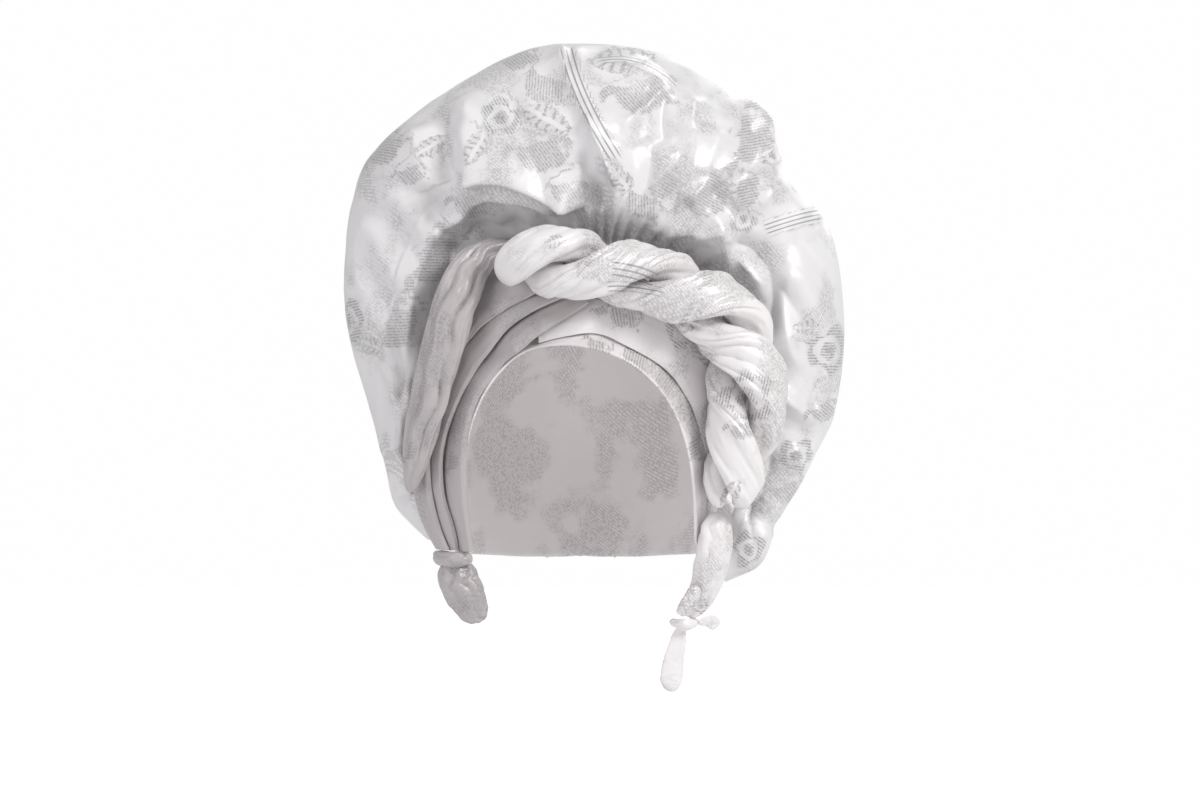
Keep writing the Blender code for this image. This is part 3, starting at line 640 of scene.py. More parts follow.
# %% The figure group
def build_figure_group():
    """Draws a flower, a leaf or a twill patch from the place inside a figure."""
    graph, given, out = new_group(
        "woven figure",
        (("Place", "NodeSocketVector"), ("Woven", "NodeSocketVector"), ("Thread", "NodeSocketVector")),
        (("Silver", "NodeSocketFloat"),))
    math = graph.math
    a, b, kind = graph.split(given["Place"])
    near, phase, _ = graph.split(given["Woven"])
    radius = math("SQRT", math("ADD", math("MULTIPLY", a, a), math("MULTIPLY", b, b)))
    turn = math("ARCTAN2", b, a)
    uneven = math("MULTIPLY_ADD", graph.noise(given["Thread"], 150, 4), 0.60, -0.30)
    broken = graph.step(0.38, 0.60, graph.noise(given["Thread"], 520, 3))
    slant = math("MULTIPLY", math("ADD", phase, math("MULTIPLY", uneven, 1.2)), 2 * np.pi)
    hatch = graph.step(-0.35, 0.65, math("SINE", slant))
    reach = math("ADD", radius, uneven)
    lobes = math("MULTIPLY", math("COSINE", math("MULTIPLY", turn, 5)), 0.10)
    lobes = math("ADD", lobes, math("MULTIPLY", math("COSINE", math("MULTIPLY_ADD", turn, 3, 1.2)), 0.09))
    inside = math("SUBTRACT", 1, graph.step(-0.10, 0.10, math("SUBTRACT", reach, math("ADD", lobes, 0.72))))
    ring = graph.band(math("SUBTRACT", reach, 0.36), 0.14)
    heart = math("SUBTRACT", 1, graph.step(0.10, 0.24, reach))
    woven = math("MULTIPLY", inside, math("MULTIPLY_ADD", hatch, 0.60, 0.32))
    flower = math("MULTIPLY", woven, math("SUBTRACT", 1, math("MULTIPLY", ring, 0.85)))
    flower = math("MAXIMUM", flower, math("MULTIPLY", heart, 0.7))
    bow = math("MULTIPLY", math("SUBTRACT", 1, math("MULTIPLY", a, a)), 0.42)
    edge = math("SUBTRACT", math("ABSOLUTE", math("ADD", b, uneven)), bow)
    within = math("SUBTRACT", 1, graph.step(-0.06, 0.05, edge))
    midrib = graph.band(math("ADD", b, math("MULTIPLY", uneven, 0.5)), 0.12)
    length = math("MULTIPLY", math("ADD", a, uneven), 20)
    veins = math("SINE", math("MULTIPLY_ADD", math("ABSOLUTE", b), 9, length))
    veins = math("MULTIPLY", graph.step(-0.1, 0.8, veins), 0.75)
    veined = math("MULTIPLY", within, math("MAXIMUM", veins, 0.22))
    leaf = math("MULTIPLY", veined, math("SUBTRACT", 1, midrib))
    leaf_rim = math("MULTIPLY", graph.band(edge, 0.10), math("MULTIPLY", broken, 0.7))
    leaf = math("MAXIMUM", leaf, leaf_rim)
    blot = math("MULTIPLY_ADD", graph.noise(given["Place"], 2.0, 5), 4.0, -2.0)
    narrow = math("ADD", radius, math("MULTIPLY", math("MULTIPLY", b, b), 1.5))
    patch = math("SUBTRACT", 1, graph.step(0.55, 0.95, math("ADD", math("ADD", narrow, blot), uneven)))
    twill = math("MULTIPLY", patch, math("MULTIPLY_ADD", hatch, 0.40, 0.34))
    first = math("LESS_THAN", kind, 0.5)
    third = math("GREATER_THAN", kind, 1.5)
    second = math("SUBTRACT", 1, math("ADD", first, third))
    drawn = math("MULTIPLY", first, flower)
    drawn = math("MULTIPLY_ADD", second, leaf, drawn)
    drawn = math("MULTIPLY_ADD", third, twill, drawn)
    grain = graph.step(0.34, 0.60, graph.noise(given["Thread"], 900, 2))
    drawn = math("MULTIPLY", drawn, math("MULTIPLY_ADD", grain, 0.55, 0.42))
    graph.feed(out["Silver"], math("MULTIPLY", drawn, near, clamp=True))
    return graph.tree


def build_line_group():
    """Draws thin woven lines from a count of their spacing."""
    graph, given, out = new_group(
        "woven lines", (("Stripe", "NodeSocketVector"),), (("Line", "NodeSocketFloat"),))
    count, inside, _ = graph.split(given["Stripe"])
    part = graph.math("SUBTRACT", graph.math("FRACT", graph.math("ADD", count, 0.5)), 0.5)
    graph.feed(out["Line"], graph.math("MULTIPLY", graph.band(part, 0.20), inside))
    return graph.tree


SHIMMER_THREAD = 0.0022


def build_satin_group():
    """Gives the satin's uneven tone, the pale figures woven into its ground and its fine relief."""
    graph, given, out = new_group(
        "satin ground",
        (("Thread", "NodeSocketVector"), ("Place", "NodeSocketVector")),
        (("Tone", "NodeSocketFloat"), ("Shimmer", "NodeSocketFloat"), ("Relief", "NodeSocketFloat")))
    math = graph.math
    place = given["Place"]
    x, y, z = graph.split(place)
    long_thread = graph.noise(graph.stretch(given["Thread"], (260, 1900, 1)), 1, 2)
    crumple = graph.noise(place, 42, 5)
    dents = graph.noise(place, 130, 3)
    graph.feed(out["Tone"], graph.noise(place, 14, 3))
    patch = graph.step(0.46, 0.58, graph.noise(place, 30, 5))
    slant = math("ADD", math("ADD", x, z), math("MULTIPLY", y, 0.5))
    hatch = graph.step(-0.1, 0.6, math("SINE", math("MULTIPLY", slant, 2 * np.pi / SHIMMER_THREAD)))
    speck = graph.step(0.45, 0.62, graph.noise(place, 700, 2))
    shimmer = math("MULTIPLY", patch, math("MAXIMUM", math("MULTIPLY", hatch, 0.8), speck))
    graph.feed(out["Shimmer"], shimmer)
    relief = math("ADD", crumple, math("MULTIPLY_ADD", dents, 0.34, math("MULTIPLY", long_thread, 0.16)))
    graph.feed(out["Relief"], math("MULTIPLY_ADD", shimmer, 0.05, relief))
    return graph.tree


FIGURE_GROUP = build_figure_group()
LINE_GROUP = build_line_group()
SATIN_GROUP = build_satin_group()


# %% The brocade material
RELIEF_DEPTH = 0.0022
RELIEF_STRENGTH = 0.32
SHADED = 0.90


def brocade(name, white, silver, roughness):
    """Makes the satin brocade with its own white, silver and gloss."""
    material = bpy.data.materials.new(name)
    material.use_nodes = True
    tree = material.node_tree
    graph = Graph(tree)
    shader = tree.nodes["Principled BSDF"]
    thread = tree.nodes.new("ShaderNodeUVMap")
    thread.uv_map = "thread"
    place = tree.nodes.new("ShaderNodeTexCoord")
    reads = {}
    for label in ("motif", "woven", "stripe"):
        node = tree.nodes.new("ShaderNodeAttribute")
        node.attribute_name = label
        reads[label] = node
    figure = tree.nodes.new("ShaderNodeGroup")
    figure.node_tree = FIGURE_GROUP
    graph.feed(figure.inputs["Place"], reads["motif"].outputs["Vector"])
    graph.feed(figure.inputs["Woven"], reads["woven"].outputs["Vector"])
    graph.feed(figure.inputs["Thread"], place.outputs["Object"])
    lines = tree.nodes.new("ShaderNodeGroup")
    lines.node_tree = LINE_GROUP
    graph.feed(lines.inputs["Stripe"], reads["stripe"].outputs["Vector"])
    satin = tree.nodes.new("ShaderNodeGroup")
    satin.node_tree = SATIN_GROUP
    graph.feed(satin.inputs["Thread"], thread.outputs["UV"])
    graph.feed(satin.inputs["Place"], place.outputs["Object"])
    shaded = tuple(channel * SHADED for channel in white)
    ground = graph.mix(satin.outputs["Tone"], (*shaded, 1), (*white, 1))
    line = graph.math("MULTIPLY", lines.outputs["Line"], 0.8)
    shimmer = graph.math("MULTIPLY", satin.outputs["Shimmer"], 0.42)
    mask = graph.math("MAXIMUM", graph.math("MAXIMUM", figure.outputs["Silver"], line), shimmer)
    graph.feed(shader.inputs["Base Color"], graph.mix(mask, ground, (*silver, 1)))
    graph.feed(shader.inputs["Roughness"], graph.math("MULTIPLY_ADD", mask, 0.08, roughness))
    graph.feed(shader.inputs["Metallic"], graph.math("MULTIPLY_ADD", mask, 0.45, 0.06))
    shader.inputs["Specular IOR Level"].default_value = 0.6
    shader.inputs["Sheen Weight"].default_value = 0.15
    shader.inputs["Sheen Roughness"].default_value = 0.4
    bump = tree.nodes.new("ShaderNodeBump")
    bump.inputs["Strength"].default_value = RELIEF_STRENGTH
    bump.inputs["Distance"].default_value = RELIEF_DEPTH
    relief = graph.math("MULTIPLY_ADD", figure.outputs["Silver"], 0.12, satin.outputs["Relief"])
    graph.feed(bump.inputs["Height"], relief)
    graph.feed(shader.inputs["Normal"], bump.outputs["Normal"])
    return material


WHITE = (0.86, 0.85, 0.855)
SILVER = (0.30, 0.29, 0.295)
fan_cloth = brocade("fan_brocade", WHITE, SILVER, 0.40)
wrap_cloth = brocade("wrap_brocade", (0.92, 0.885, 0.89), SILVER, 0.38)
# The pleats, the side roll, the left tie and the left bulb take this darker copy of the same white cloth: its
# grey is painted shade, for the shade that falls on the left side.
pleat_cloth_painted_shade = brocade("pleat_brocade_painted_shade", (0.55, 0.515, 0.52), SILVER, 0.36)
rope_cloth = brocade("rope_brocade", (0.95, 0.925, 0.93), SILVER, 0.36)
print("materials:", [m.name for m in (fan_cloth, wrap_cloth, pleat_cloth_painted_shade, rope_cloth)])

# %% [markdown]
# ## The fan
# The grid is finer in front, where the folds and the figures are, than behind. Small gathers run out from
# the knot, because the whole width of the cloth is squeezed together there, and die out before the rim. A
# few rows are tucked in behind the rope, as the real cloth runs on into the knot.

# %% The fan's grid
FAN_COLUMNS = 330
FRONT_ROWS = 96
BACK_ROWS = 34
TUCK_ROWS = 6
TUCK_BACK = 0.10
TuckPoint = namedtuple("TuckPoint", "row length")
TUCK = (
    TuckPoint(0, 0.000),
    TuckPoint(3, 0.003),
    TuckPoint(5, 0.008),
    TuckPoint(7, 0.036),
    TuckPoint(12, 0.042),
    TuckPoint(14, 0.024),
    TuckPoint(16, 0.013),
    TuckPoint(20, 0.013),
    TuckPoint(21, 0.000),
)

front_ways = np.linspace(0, 0.5, FRONT_ROWS)
back_ways = np.linspace(0.5, 1, BACK_ROWS)[1:]
ways = np.concatenate((np.zeros(TUCK_ROWS), front_ways, back_ways))
around, along = np.meshgrid(np.linspace(0, 1, FAN_COLUMNS), ways, indexing="ij")
base = fan_base(around, along)
inwards = (base[:, TUCK_ROWS] - base[:, TUCK_ROWS + FRONT_ROWS - 1]) * np.array((1, 0, 1))
inwards /= np.linalg.norm(inwards, axis=-1, keepdims=True)
tuck_rows, tuck_lengths = zip(*TUCK)
tuck = np.interp(around[:, 0] * (len(FAN_ROWS) - 1), tuck_rows, tuck_lengths)[:, None]
tucked = np.linspace(1, 0, TUCK_ROWS + 1)[:-1, None]
base[:, :TUCK_ROWS] += ((inwards + np.array((0, TUCK_BACK, 0))) * tuck)[:, None] * tucked
print("fan grid:", base.shape[:2])

# %% The fan's relief
SIDE_FADE = 0.06
GATHERS = 34
GATHER_HEIGHT = 0.0020
GATHER_REACH = 0.09
SPOKES = 15
SPOKE_DEPTH = 0.0042
BACK_FOLDS = 17
HANG_DEPTH = 0.0030
PUFF = 0.0070
DENT = 0.0016
PUFF_SINK = 0.0025
SWELL = 0.0012


def gathers(around, along):
    """Gives the small gathers that run out from the knot and die out."""
    phase = 2 * np.pi * GATHERS * around + 2.2 * np.sin(9 * around)
    return GATHER_HEIGHT * np.cos(phase) * np.exp(-along / GATHER_REACH)


def spokes(around, along):
    """Gives the creases that run from the knot most of the way to the rim."""
    wander = 1.6 * np.sin(9 * around + 1) + 0.9 * np.sin(23 * around) + 1.2 * np.sin(5 * along)
    uneven = 0.35 + 0.65 * np.sin(11 * around + 0.6) ** 2
    reach = ease(0.01, 0.08, along) * (1 - ease(0.20, 0.44, along))
    return SPOKE_DEPTH * creased(2 * np.pi * SPOKES * around + wander) * uneven * reach


def back_pleats(around, along):
    """Gives the broad pleats that run down the back to the hem."""
    wave = (1 + np.cos(2 * np.pi * BACK_PLEATS * around)) / 2
    return BACK_PLEAT_HEIGHT * wave * between(0.02, 0.12, around) * ease(0.55, 0.9, along)


def hanging_folds(around, along):
    """Gives the finer folds between the pleats, with sharp ridges and round valleys."""
    phase = np.pi * BACK_FOLDS * around + 0.8 * np.sin(5 * around) + 0.5 * np.sin(11 * along)
    valley = np.abs(np.sin(phase)) ** 0.7
    return -HANG_DEPTH * valley * between(0.02, 0.10, around) * ease(0.52, 0.72, along)


def crumple(places, along):
    """Gives the puffed surface of the stiff cloth, which lies smoother towards the rim."""
    puffs = np.abs(ripple(places, 11, 5, 0.060)) * PUFF
    dents = np.abs(ripple(places, 23, 5, 0.030)) * DENT
    puffed = (puffs + dents - PUFF_SINK) * (1 - 0.9 * ease(0.24, 0.40, along))
    return (ripple(places, 7, 9, 0.075) * SWELL + puffed) * ease(0.02, 0.15, along)


# %% Build the fan
BACK_ROUND = 0.110
BACK_AXIS = 0.02
TOWARD = (0.04, 0.30)

normal = grid_normals(base)
outward = -1 if normal[FAN_COLUMNS // 2, TUCK_ROWS + FRONT_ROWS // 2, 1] > 0 else 1
side_fade = between(0, SIDE_FADE, around)
height, shift = fold_field(base[..., (0, 2)], FAN_FOLDS)
held = ease(0, 0.10, along) * (1 - ease(0.40, 0.53, along)) * side_fade
loose = gathers(around, along) + spokes(around, along) + crumple((base[..., 0], base[..., 2]), along)
lift = height * held + loose * side_fade + back_pleats(around, along) + hanging_folds(around, along)
points = base + outward * normal * lift[..., None]
points[..., (0, 2)] += shift * held[..., None]
fan_mesh = grid_mesh("gele_fan", points, thread_lengths(points))
behind = (along > 0.50).reshape(-1)
toward = ease(*TOWARD, -outward * grid_normals(points)[..., 1]).reshape(-1)
turned = np.arctan2(points[..., 0], points[..., 1] + BACK_AXIS)
round_back = np.stack((turned * BACK_ROUND, points[..., 2]), axis=-1).reshape(-1, 2)
lattice = (round_back, behind)
mark_figures(fan_mesh, points[..., (0, 2)], FAN_FIGURES, lattice, np.where(behind, 0, toward))
mark_lines(fan_mesh, points[..., (0, 2)], FAN_LINES, (~behind).astype(float))
fan = add_piece("gele_fan", fan_mesh, ("fan",), fan_cloth)
thicken(fan)
print("fan:", len(fan_mesh.polygons), "faces,", round(cloth_area(fan), 3), "square metres")

# %% [markdown]
# ## The layer on the head
# The cloth is first wound flat round the head, and its edge is folded under on the brow. A shrinkwrap onto a
# head would need that head. Here the layer is read from the same ellipsoid as the solid: rings run round
# the face opening, and the edge table says how far the cloth reaches at each hour of that clock.

# %% The wrap's edge
EdgePoint = namedtuple("EdgePoint", "clock tilt")
WRAP_EDGE = (
    EdgePoint(-90, 111),
    EdgePoint(-70, 108),
    EdgePoint(-49, 100),
    EdgePoint(-30, 87),
    EdgePoint(-13, 71),
    EdgePoint(1, 60),
    EdgePoint(9, 59),
    EdgePoint(21, 63),
    EdgePoint(31, 68),
    EdgePoint(41, 74),
    EdgePoint(53, 80),
    EdgePoint(69, 85),
    EdgePoint(84, 88),
    EdgePoint(98, 90),
    EdgePoint(114, 91),
    EdgePoint(127, 87),
    EdgePoint(138, 81),
    EdgePoint(148, 74),
    EdgePoint(156, 66),
    EdgePoint(164, 60),
    EdgePoint(174, 55),
    EdgePoint(183, 57),
    EdgePoint(194, 71),
    EdgePoint(210, 87),
    EdgePoint(229, 100),
    EdgePoint(250, 108),
    EdgePoint(270, 111),
)
WRAP_FIGURES = (
    Figure(596, 347, 15, -20, TWILL),
    Figure(634, 358, 22, -35, TWILL),
    Figure(664, 381, 18, -55, TWILL),
    Figure(684, 408, 17, -75, LEAF),
    Figure(694, 446, 15, -80, TWILL),
    Figure(462, 466, 10, 80, TWILL),
)
WRAP_LENGTH = 0.16
WRAP_STEPS = (261, 70)
HEM_FOLD = 0.009
HEM_ROUND = 0.0016
HEM_HEIGHT = 0.00020
CREASE_WIDTH = 0.0011
FIRST_CREASE = 0.00030
SECOND_CREASE = 0.00022


def wrap_place(around, outward, lift):
    """Places points of the wrap, from its pole behind the crown to the edge of the opening."""
    edge = through(WRAP_EDGE, around)
    clock = np.radians(edge[..., 0])[..., None]
    tilt = (np.pi - (np.pi - np.radians(edge[..., 1])) * outward)[..., None]
    axis = np.array((0, -1, -1)) / np.sqrt(2)
    upward = np.array((0, -1, 1)) / np.sqrt(2)
    ring = np.array((1, 0, 0)) * np.cos(clock) + upward * np.sin(clock)
    return wrap_point(axis * np.cos(tilt) + ring * np.sin(tilt), lift)


# %% Build the wrap
ways = np.linspace(0, 1, WRAP_STEPS[1]) ** 0.7
around, reached = np.meshgrid(np.linspace(0, 1, WRAP_STEPS[0]), ways, indexing="ij")
inset = (1 - reached) * WRAP_LENGTH
rounded = HEM_HEIGHT * np.exp(-(inset / HEM_ROUND) ** 2)
first = FIRST_CREASE * np.exp(-((inset - HEM_FOLD) / CREASE_WIDTH) ** 2)
second_fold = 2.1 * HEM_FOLD + 0.002 * np.sin(14 * around)
second = SECOND_CREASE * np.exp(-((inset - second_fold) / CREASE_WIDTH) ** 2)
points = wrap_place(around, reached, CLOTH + rounded - first - second)
wrap_mesh = grid_mesh("gele_head_wrap", points, thread_lengths(points))
finish_grid(wrap_mesh, False)
places = vertex_values(wrap_mesh.vertices, "co")[:, (0, 2)]
mark_figures(wrap_mesh, places, WRAP_FIGURES, visible=facing(wrap_mesh))
mark_lines(wrap_mesh, places, ())
head_wrap = add_piece("gele_head_wrap", wrap_mesh, ("head_wrap",), wrap_cloth)
thicken(head_wrap)
print("head wrap:", len(wrap_mesh.polygons), "faces")

# %% [markdown]
# ## The band over the brow and the pleats
# Over the first layer lie a band from the knot down the right side and three flat pleats on the left. A
# pleat is a strip folded on itself: a rounded edge that catches the light, a flat back, and a dark line where
# it goes under its neighbour. Each strip is a table of both its edges. Rays then set it down on the outside
# of its own solid, which already lies clear of the layers under it.

# %% The strips' tables
Band = namedtuple("Band", "inner_x inner_z inner_depth outer_x outer_z outer_depth")
CROSS_BAND = (
    Band(-0.157, -0.185, None, -0.157, -0.020, -0.574),
    Band(-0.039, -0.157, None, -0.039, -0.016, -0.574),
    Band(0.067, -0.149, None, 0.086, -0.012, -0.564),
    Band(0.173, -0.193, None, 0.236, -0.031, -0.543),
    Band(0.330, -0.287, None, 0.432, -0.106, -0.447),
    Band(0.413, -0.393, None, 0.519, -0.204, -0.319),
    Band(0.452, -0.480, None, 0.550, -0.342, -0.255),
    Band(0.495, -0.641, None, 0.566, -0.519, -0.213),
    Band(0.499, -0.759, None, 0.558, -0.676, -0.191),
    Band(0.483, -0.936, None, 0.519, -0.873, -0.191),
)
INNER_PLEAT = (
    Band(0.039, -0.031, -0.654, 0.047, -0.004, -0.628),
    Band(-0.008, -0.067, -0.660, -0.039, 0.000, -0.628),
    Band(-0.145, -0.149, -0.740, -0.157, -0.039, -0.630),
    Band(-0.236, -0.216, -0.740, -0.267, -0.110, -0.585),
    Band(-0.299, -0.275, None, -0.346, -0.204, -0.511),
    Band(-0.385, -0.393, None, -0.425, -0.291, -0.457),
    Band(-0.428, -0.523, None, -0.491, -0.425, -0.404),
    Band(-0.440, -0.656, None, -0.527, -0.594, -0.362),
    Band(-0.440, -0.767, None, -0.527, -0.755, -0.362),
    Band(-0.425, -0.910, None, -0.487, -0.890, -0.372),
    Band(-0.413, -0.985, None, -0.472, -0.975, -0.372),
)
MIDDLE_PLEAT = (
    Band(-0.067, -0.016, -0.680, -0.094, 0.004, -0.670),
    Band(-0.177, -0.067, -0.690, -0.228, -0.008, -0.630),
    Band(-0.279, -0.138, -0.650, -0.322, -0.055, -0.585),
    Band(-0.342, -0.220, -0.595, -0.401, -0.126, -0.510),
    Band(-0.401, -0.303, -0.540, -0.456, -0.204, -0.440),
    Band(-0.472, -0.440, -0.485, -0.503, -0.342, -0.390),
    Band(-0.519, -0.594, -0.440, -0.566, -0.499, -0.340),
    Band(-0.519, -0.755, -0.440, -0.582, -0.676, -0.310),
    Band(-0.480, -0.890, -0.440, -0.550, -0.860, -0.310),
    Band(-0.464, -0.975, -0.440, -0.511, -0.975, -0.330),
)
OUTER_PLEAT = (
    Band(-0.118, 0.040, -0.700, -0.250, 0.190, -0.330),
    Band(-0.208, -0.012, -0.690, -0.330, 0.130, -0.330),
    Band(-0.299, -0.063, -0.650, -0.395, 0.050, -0.330),
    Band(-0.385, -0.126, -0.580, -0.430, -0.063, -0.340),
    Band(-0.440, -0.204, -0.515, -0.464, -0.200, -0.410),
    Band(-0.472, -0.275, -0.465, -0.519, -0.354, -0.330),
    Band(-0.550, -0.480, -0.395, -0.590, -0.558, -0.260),
    Band(-0.566, -0.676, -0.365, -0.645, -0.715, -0.215),
    Band(-0.535, -0.860, -0.365, -0.613, -0.860, -0.215),
    Band(-0.491, -0.970, -0.385, -0.550, -0.965, -0.255),
)
CROSS_FIGURES = (
    Figure(622, 318, 22, -12, TWILL),
    Figure(600, 312, 10, 20, TWILL),
    Figure(684, 330, 27, 35, FLOWER),
    Figure(700, 352, 18, -60, LEAF),
    Figure(716, 408, 16, -70, LEAF),
    Figure(722, 480, 12, -80, TWILL),
)
PLEAT_FIGURES = (
    Figure(462, 300, 13, 62, LEAF),
    Figure(440, 372, 12, 70, TWILL),
    Figure(424, 436, 12, 80, LEAF),
    Figure(455, 462, 12, 80, TWILL),
)


BAND_CROWN = 0.32


def wrap_depth(x, z, lift):
    """Gives the y of the wrap's front at a place in the front view."""
    height = z + CROWN_RISE
    rise = CROWN_RISE if height > 0 else NAPE_DROP
    across = x / (HEAD_WIDTH / 2 + lift)
    up = height / (rise + lift)
    return -(HEAD_DEPTH / 2 + lift) * np.sqrt(max(1 - across ** 2 - up ** 2, 0))


def band_form(rows, along, across):
    """Gives the smooth form of a strip between its two edges."""
    half = HEAD_DEPTH / 2
    ready = []
    for row in rows:
        if row.inner_depth is None:
            depth = wrap_depth(row.inner_x * FAN_REACH, row.inner_z * FAN_RISE, CLOTH + GAP) / half
            row = row._replace(inner_depth=depth)
        ready.append(row)
    row = through(ready, along)
    inner = join(row[..., 0] * FAN_REACH, row[..., 2] * half, row[..., 1] * FAN_RISE)
    outer = join(row[..., 3] * FAN_REACH, row[..., 5] * half, row[..., 4] * FAN_RISE)
    middle = inner + (outer - inner) * across[..., None]
    away = middle - HEAD_MIDDLE
    away /= np.linalg.norm(away, axis=-1, keepdims=True)
    width = np.linalg.norm(inner - outer, axis=-1)
    return middle + away * (BAND_CROWN * width * across * (1 - across))[..., None]


# %% Laying a strip on its solid
LAY_REACH = 0.035
LAY_LEAN = 0.35
LAY_SMOOTHING = 24
SETTLE = 0.0003


def solid_tree(node):
    """Makes a search tree of a CAD node's surface."""
    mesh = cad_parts[node].data
    corners = [vert.co for vert in mesh.vertices]
    return BVHTree.FromPolygons(corners, [face.vertices for face in mesh.polygons])


def neighbours(values):
    """Gives the four neighbours of each place of a grid, whose border stands in for what lies outside."""
    padded = np.pad(values, 1, mode="edge")
    return np.stack((padded[:-2, 1:-1], padded[2:, 1:-1], padded[1:-1, :-2], padded[1:-1, 2:]))


def smooth_grid(values, passes):
    """Averages a grid with its neighbours."""
    for _ in range(passes):
        values = (neighbours(values).sum(axis=0) + 4 * values) / 8
    return values


def lie_on(points, node):
    """Moves a grid forward and back until it lies in the outer face of its solid."""
    tree = solid_tree(node)
    forward = np.array((0, -HEAD_DEPTH / 3, LAY_LEAN * CROWN_RISE))
    lean = points * np.array((LAY_LEAN, 0, LAY_LEAN)) + forward
    away = lean / np.linalg.norm(lean, axis=-1, keepdims=True)
    push = np.full(points.shape[:-1], np.nan)
    for spot in np.ndindex(*push.shape):
        way = Vector(away[spot])
        start = Vector(points[spot])
        hit = tree.ray_cast(start + way * LAY_REACH, -way, 2 * LAY_REACH)[0]
        if hit is not None:
            push[spot] = (hit - start).dot(way)
    while np.isnan(push).any():
        near = neighbours(push)
        known = ~np.isnan(near)
        filled = np.where(known, near, 0).sum(axis=0) / np.maximum(known.sum(axis=0), 1)
        push = np.where(np.isnan(push) & known.any(axis=0), filled, push)
    return points + away * (smooth_grid(push, LAY_SMOOTHING) - SETTLE)[..., None]


# %% Build the strips
Strip = namedtuple("Strip", "node rows pleats depth edge figures")
STRIPS = (
    Strip("cross_band", CROSS_BAND, 2.0, 0.0004, 0.0005, CROSS_FIGURES),
    Strip("pleat_inner", INNER_PLEAT, 1.0, 0.0005, 0.0009, PLEAT_FIGURES),
    Strip("pleat_middle", MIDDLE_PLEAT, 1.0, 0.0005, 0.0009, PLEAT_FIGURES),
    Strip("pleat_outer", OUTER_PLEAT, 2.0, 0.0007, 0.0009, PLEAT_FIGURES),
)


STRIP_STEPS = (221, 45)
EDGE_SHARE = 0.07
STRIP_SOFTNESS = 0.0003


def build_strip(strip, material):
    """Makes one strip with its rounded edge, its long creases and its figures."""
    ways = [np.linspace(0, 1, steps) for steps in STRIP_STEPS]
    along, across = np.meshgrid(*ways, indexing="ij")
    points = lie_on(band_form(strip.rows, along, across), strip.node)
    normal = grid_normals(points)
    if (normal * (points - HEAD_MIDDLE)).sum() < 0:
        normal = -normal
    edges = np.exp(-(across / EDGE_SHARE) ** 2) + np.exp(-((1 - across) / EDGE_SHARE) ** 2)
    wander = 0.9 * np.sin(5 * along + len(strip.rows)) + 0.4 * np.sin(13 * along)
    crease = creased(2 * np.pi * strip.pleats * across + wander) * ease(0.1, 0.35, along)
    soft = ripple((points[..., 0], points[..., 2]), len(strip.node), 6, 0.02)
    lift = strip.depth * crease - strip.edge * edges + STRIP_SOFTNESS * soft
    points = points + normal * lift[..., None]
    mesh = grid_mesh("gele_" + strip.node, points, thread_lengths(points))
    finish_grid(mesh, False)
    places = vertex_values(mesh.vertices, "co")[:, (0, 2)]
    mark_figures(mesh, places, strip.figures, visible=facing(mesh))
    mark_lines(mesh, places, ())
    piece = add_piece("gele_" + strip.node, mesh, (strip.node,), material)
    thicken(piece)
    return piece


# The three pleats take the darker copy of the cloth, whose grey is painted shade.
strip_cloths = (wrap_cloth, pleat_cloth_painted_shade, pleat_cloth_painted_shade, pleat_cloth_painted_shade)
strips = [build_strip(strip, cloth) for strip, cloth in zip(STRIPS, strip_cloths)]
print("strips:", {piece.name: len(piece.data.polygons) for piece in strips})

# %% [markdown]
# ## The rope over the brow
# The rope is two thick strands of the rolled cloth, twisted round each other and laid from the knot over the
# brow and down the right side. A curve with a bevel would make two smooth hoses. Here each strand is a grid
# round a middle line that itself winds round the rope's axis, so that the lumps of the photo come out of the
# twist, and the creases of the rolled cloth can be cut into the grid.

# %% Courses and their frames
Course = namedtuple("Course", "x z depth swell")
ROPE = (
    Course(-0.300, 0.122, -0.460, 0.60),
    Course(-0.118, 0.130, -0.640, 0.92),
    Course(0.079, 0.106, -0.700, 0.86),
    Course(0.295, 0.055, -0.660, 0.88),
    Course(0.480, -0.028, -0.560, 0.95),
    Course(0.613, -0.165, -0.480, 1.00),
    Course(0.649, -0.401, -0.430, 1.04),
    Course(0.605, -0.645, -0.390, 0.84),
    Course(0.572, -0.815, -0.350, 0.60),
)
ROPE_HALF = 0.021
ROPE_TURNS = -2.5
ROPE_START_TURN = np.radians(80)
ROPE_FLAT = 0.86
ROPE_CAP = 0.08
STRAND_REACH = 1.03
STRAND_CLEARANCE = 0.0005
LAY_CLEARANCE = 0.0008
SLOPE_STEP = 0.004
ROLL_LEAN = 0.5
ROLL_CAP = 0.20


def unit(vectors):
    """Scales vectors to a length of one."""
    return vectors / np.maximum(np.linalg.norm(vectors, axis=-1, keepdims=True), 1e-12)


def course_point(rows, share):
    """Gives a roll's middle line in metres."""
    row = through(rows, share)
    return join(row[..., 0] * FAN_REACH, row[..., 2] * HEAD_DEPTH / 2, row[..., 1] * FAN_RISE)


def course_frame(rows, share):
    """Gives the middle line with the directions away from the head and across the roll."""
    point = course_point(rows, share)
    ahead = unit(course_point(rows, share + SLOPE_STEP) - course_point(rows, share - SLOPE_STEP))
    upward = (point[..., 2] + CROWN_RISE) * ROLL_LEAN
    away = join(point[..., 0] * ROLL_LEAN, point[..., 1] - HEAD_DEPTH / 4, upward)
    away = unit(away - ahead * (away * ahead).sum(axis=-1, keepdims=True))
    return point, away, np.cross(ahead, away)


def end_round(share, cap):
    """Closes a roll's section to nothing at both ends, over a cap's share of its length."""
    near = np.minimum(share, 1 - share)
    return np.sqrt(np.clip(1 - (1 - np.minimum(near / cap, 1)) ** 2, 0, 1))


# %% Resting a course on what lies under it
REST_TRIES = 6
REST_SPREAD = 3
COURSE_STEPS = 6


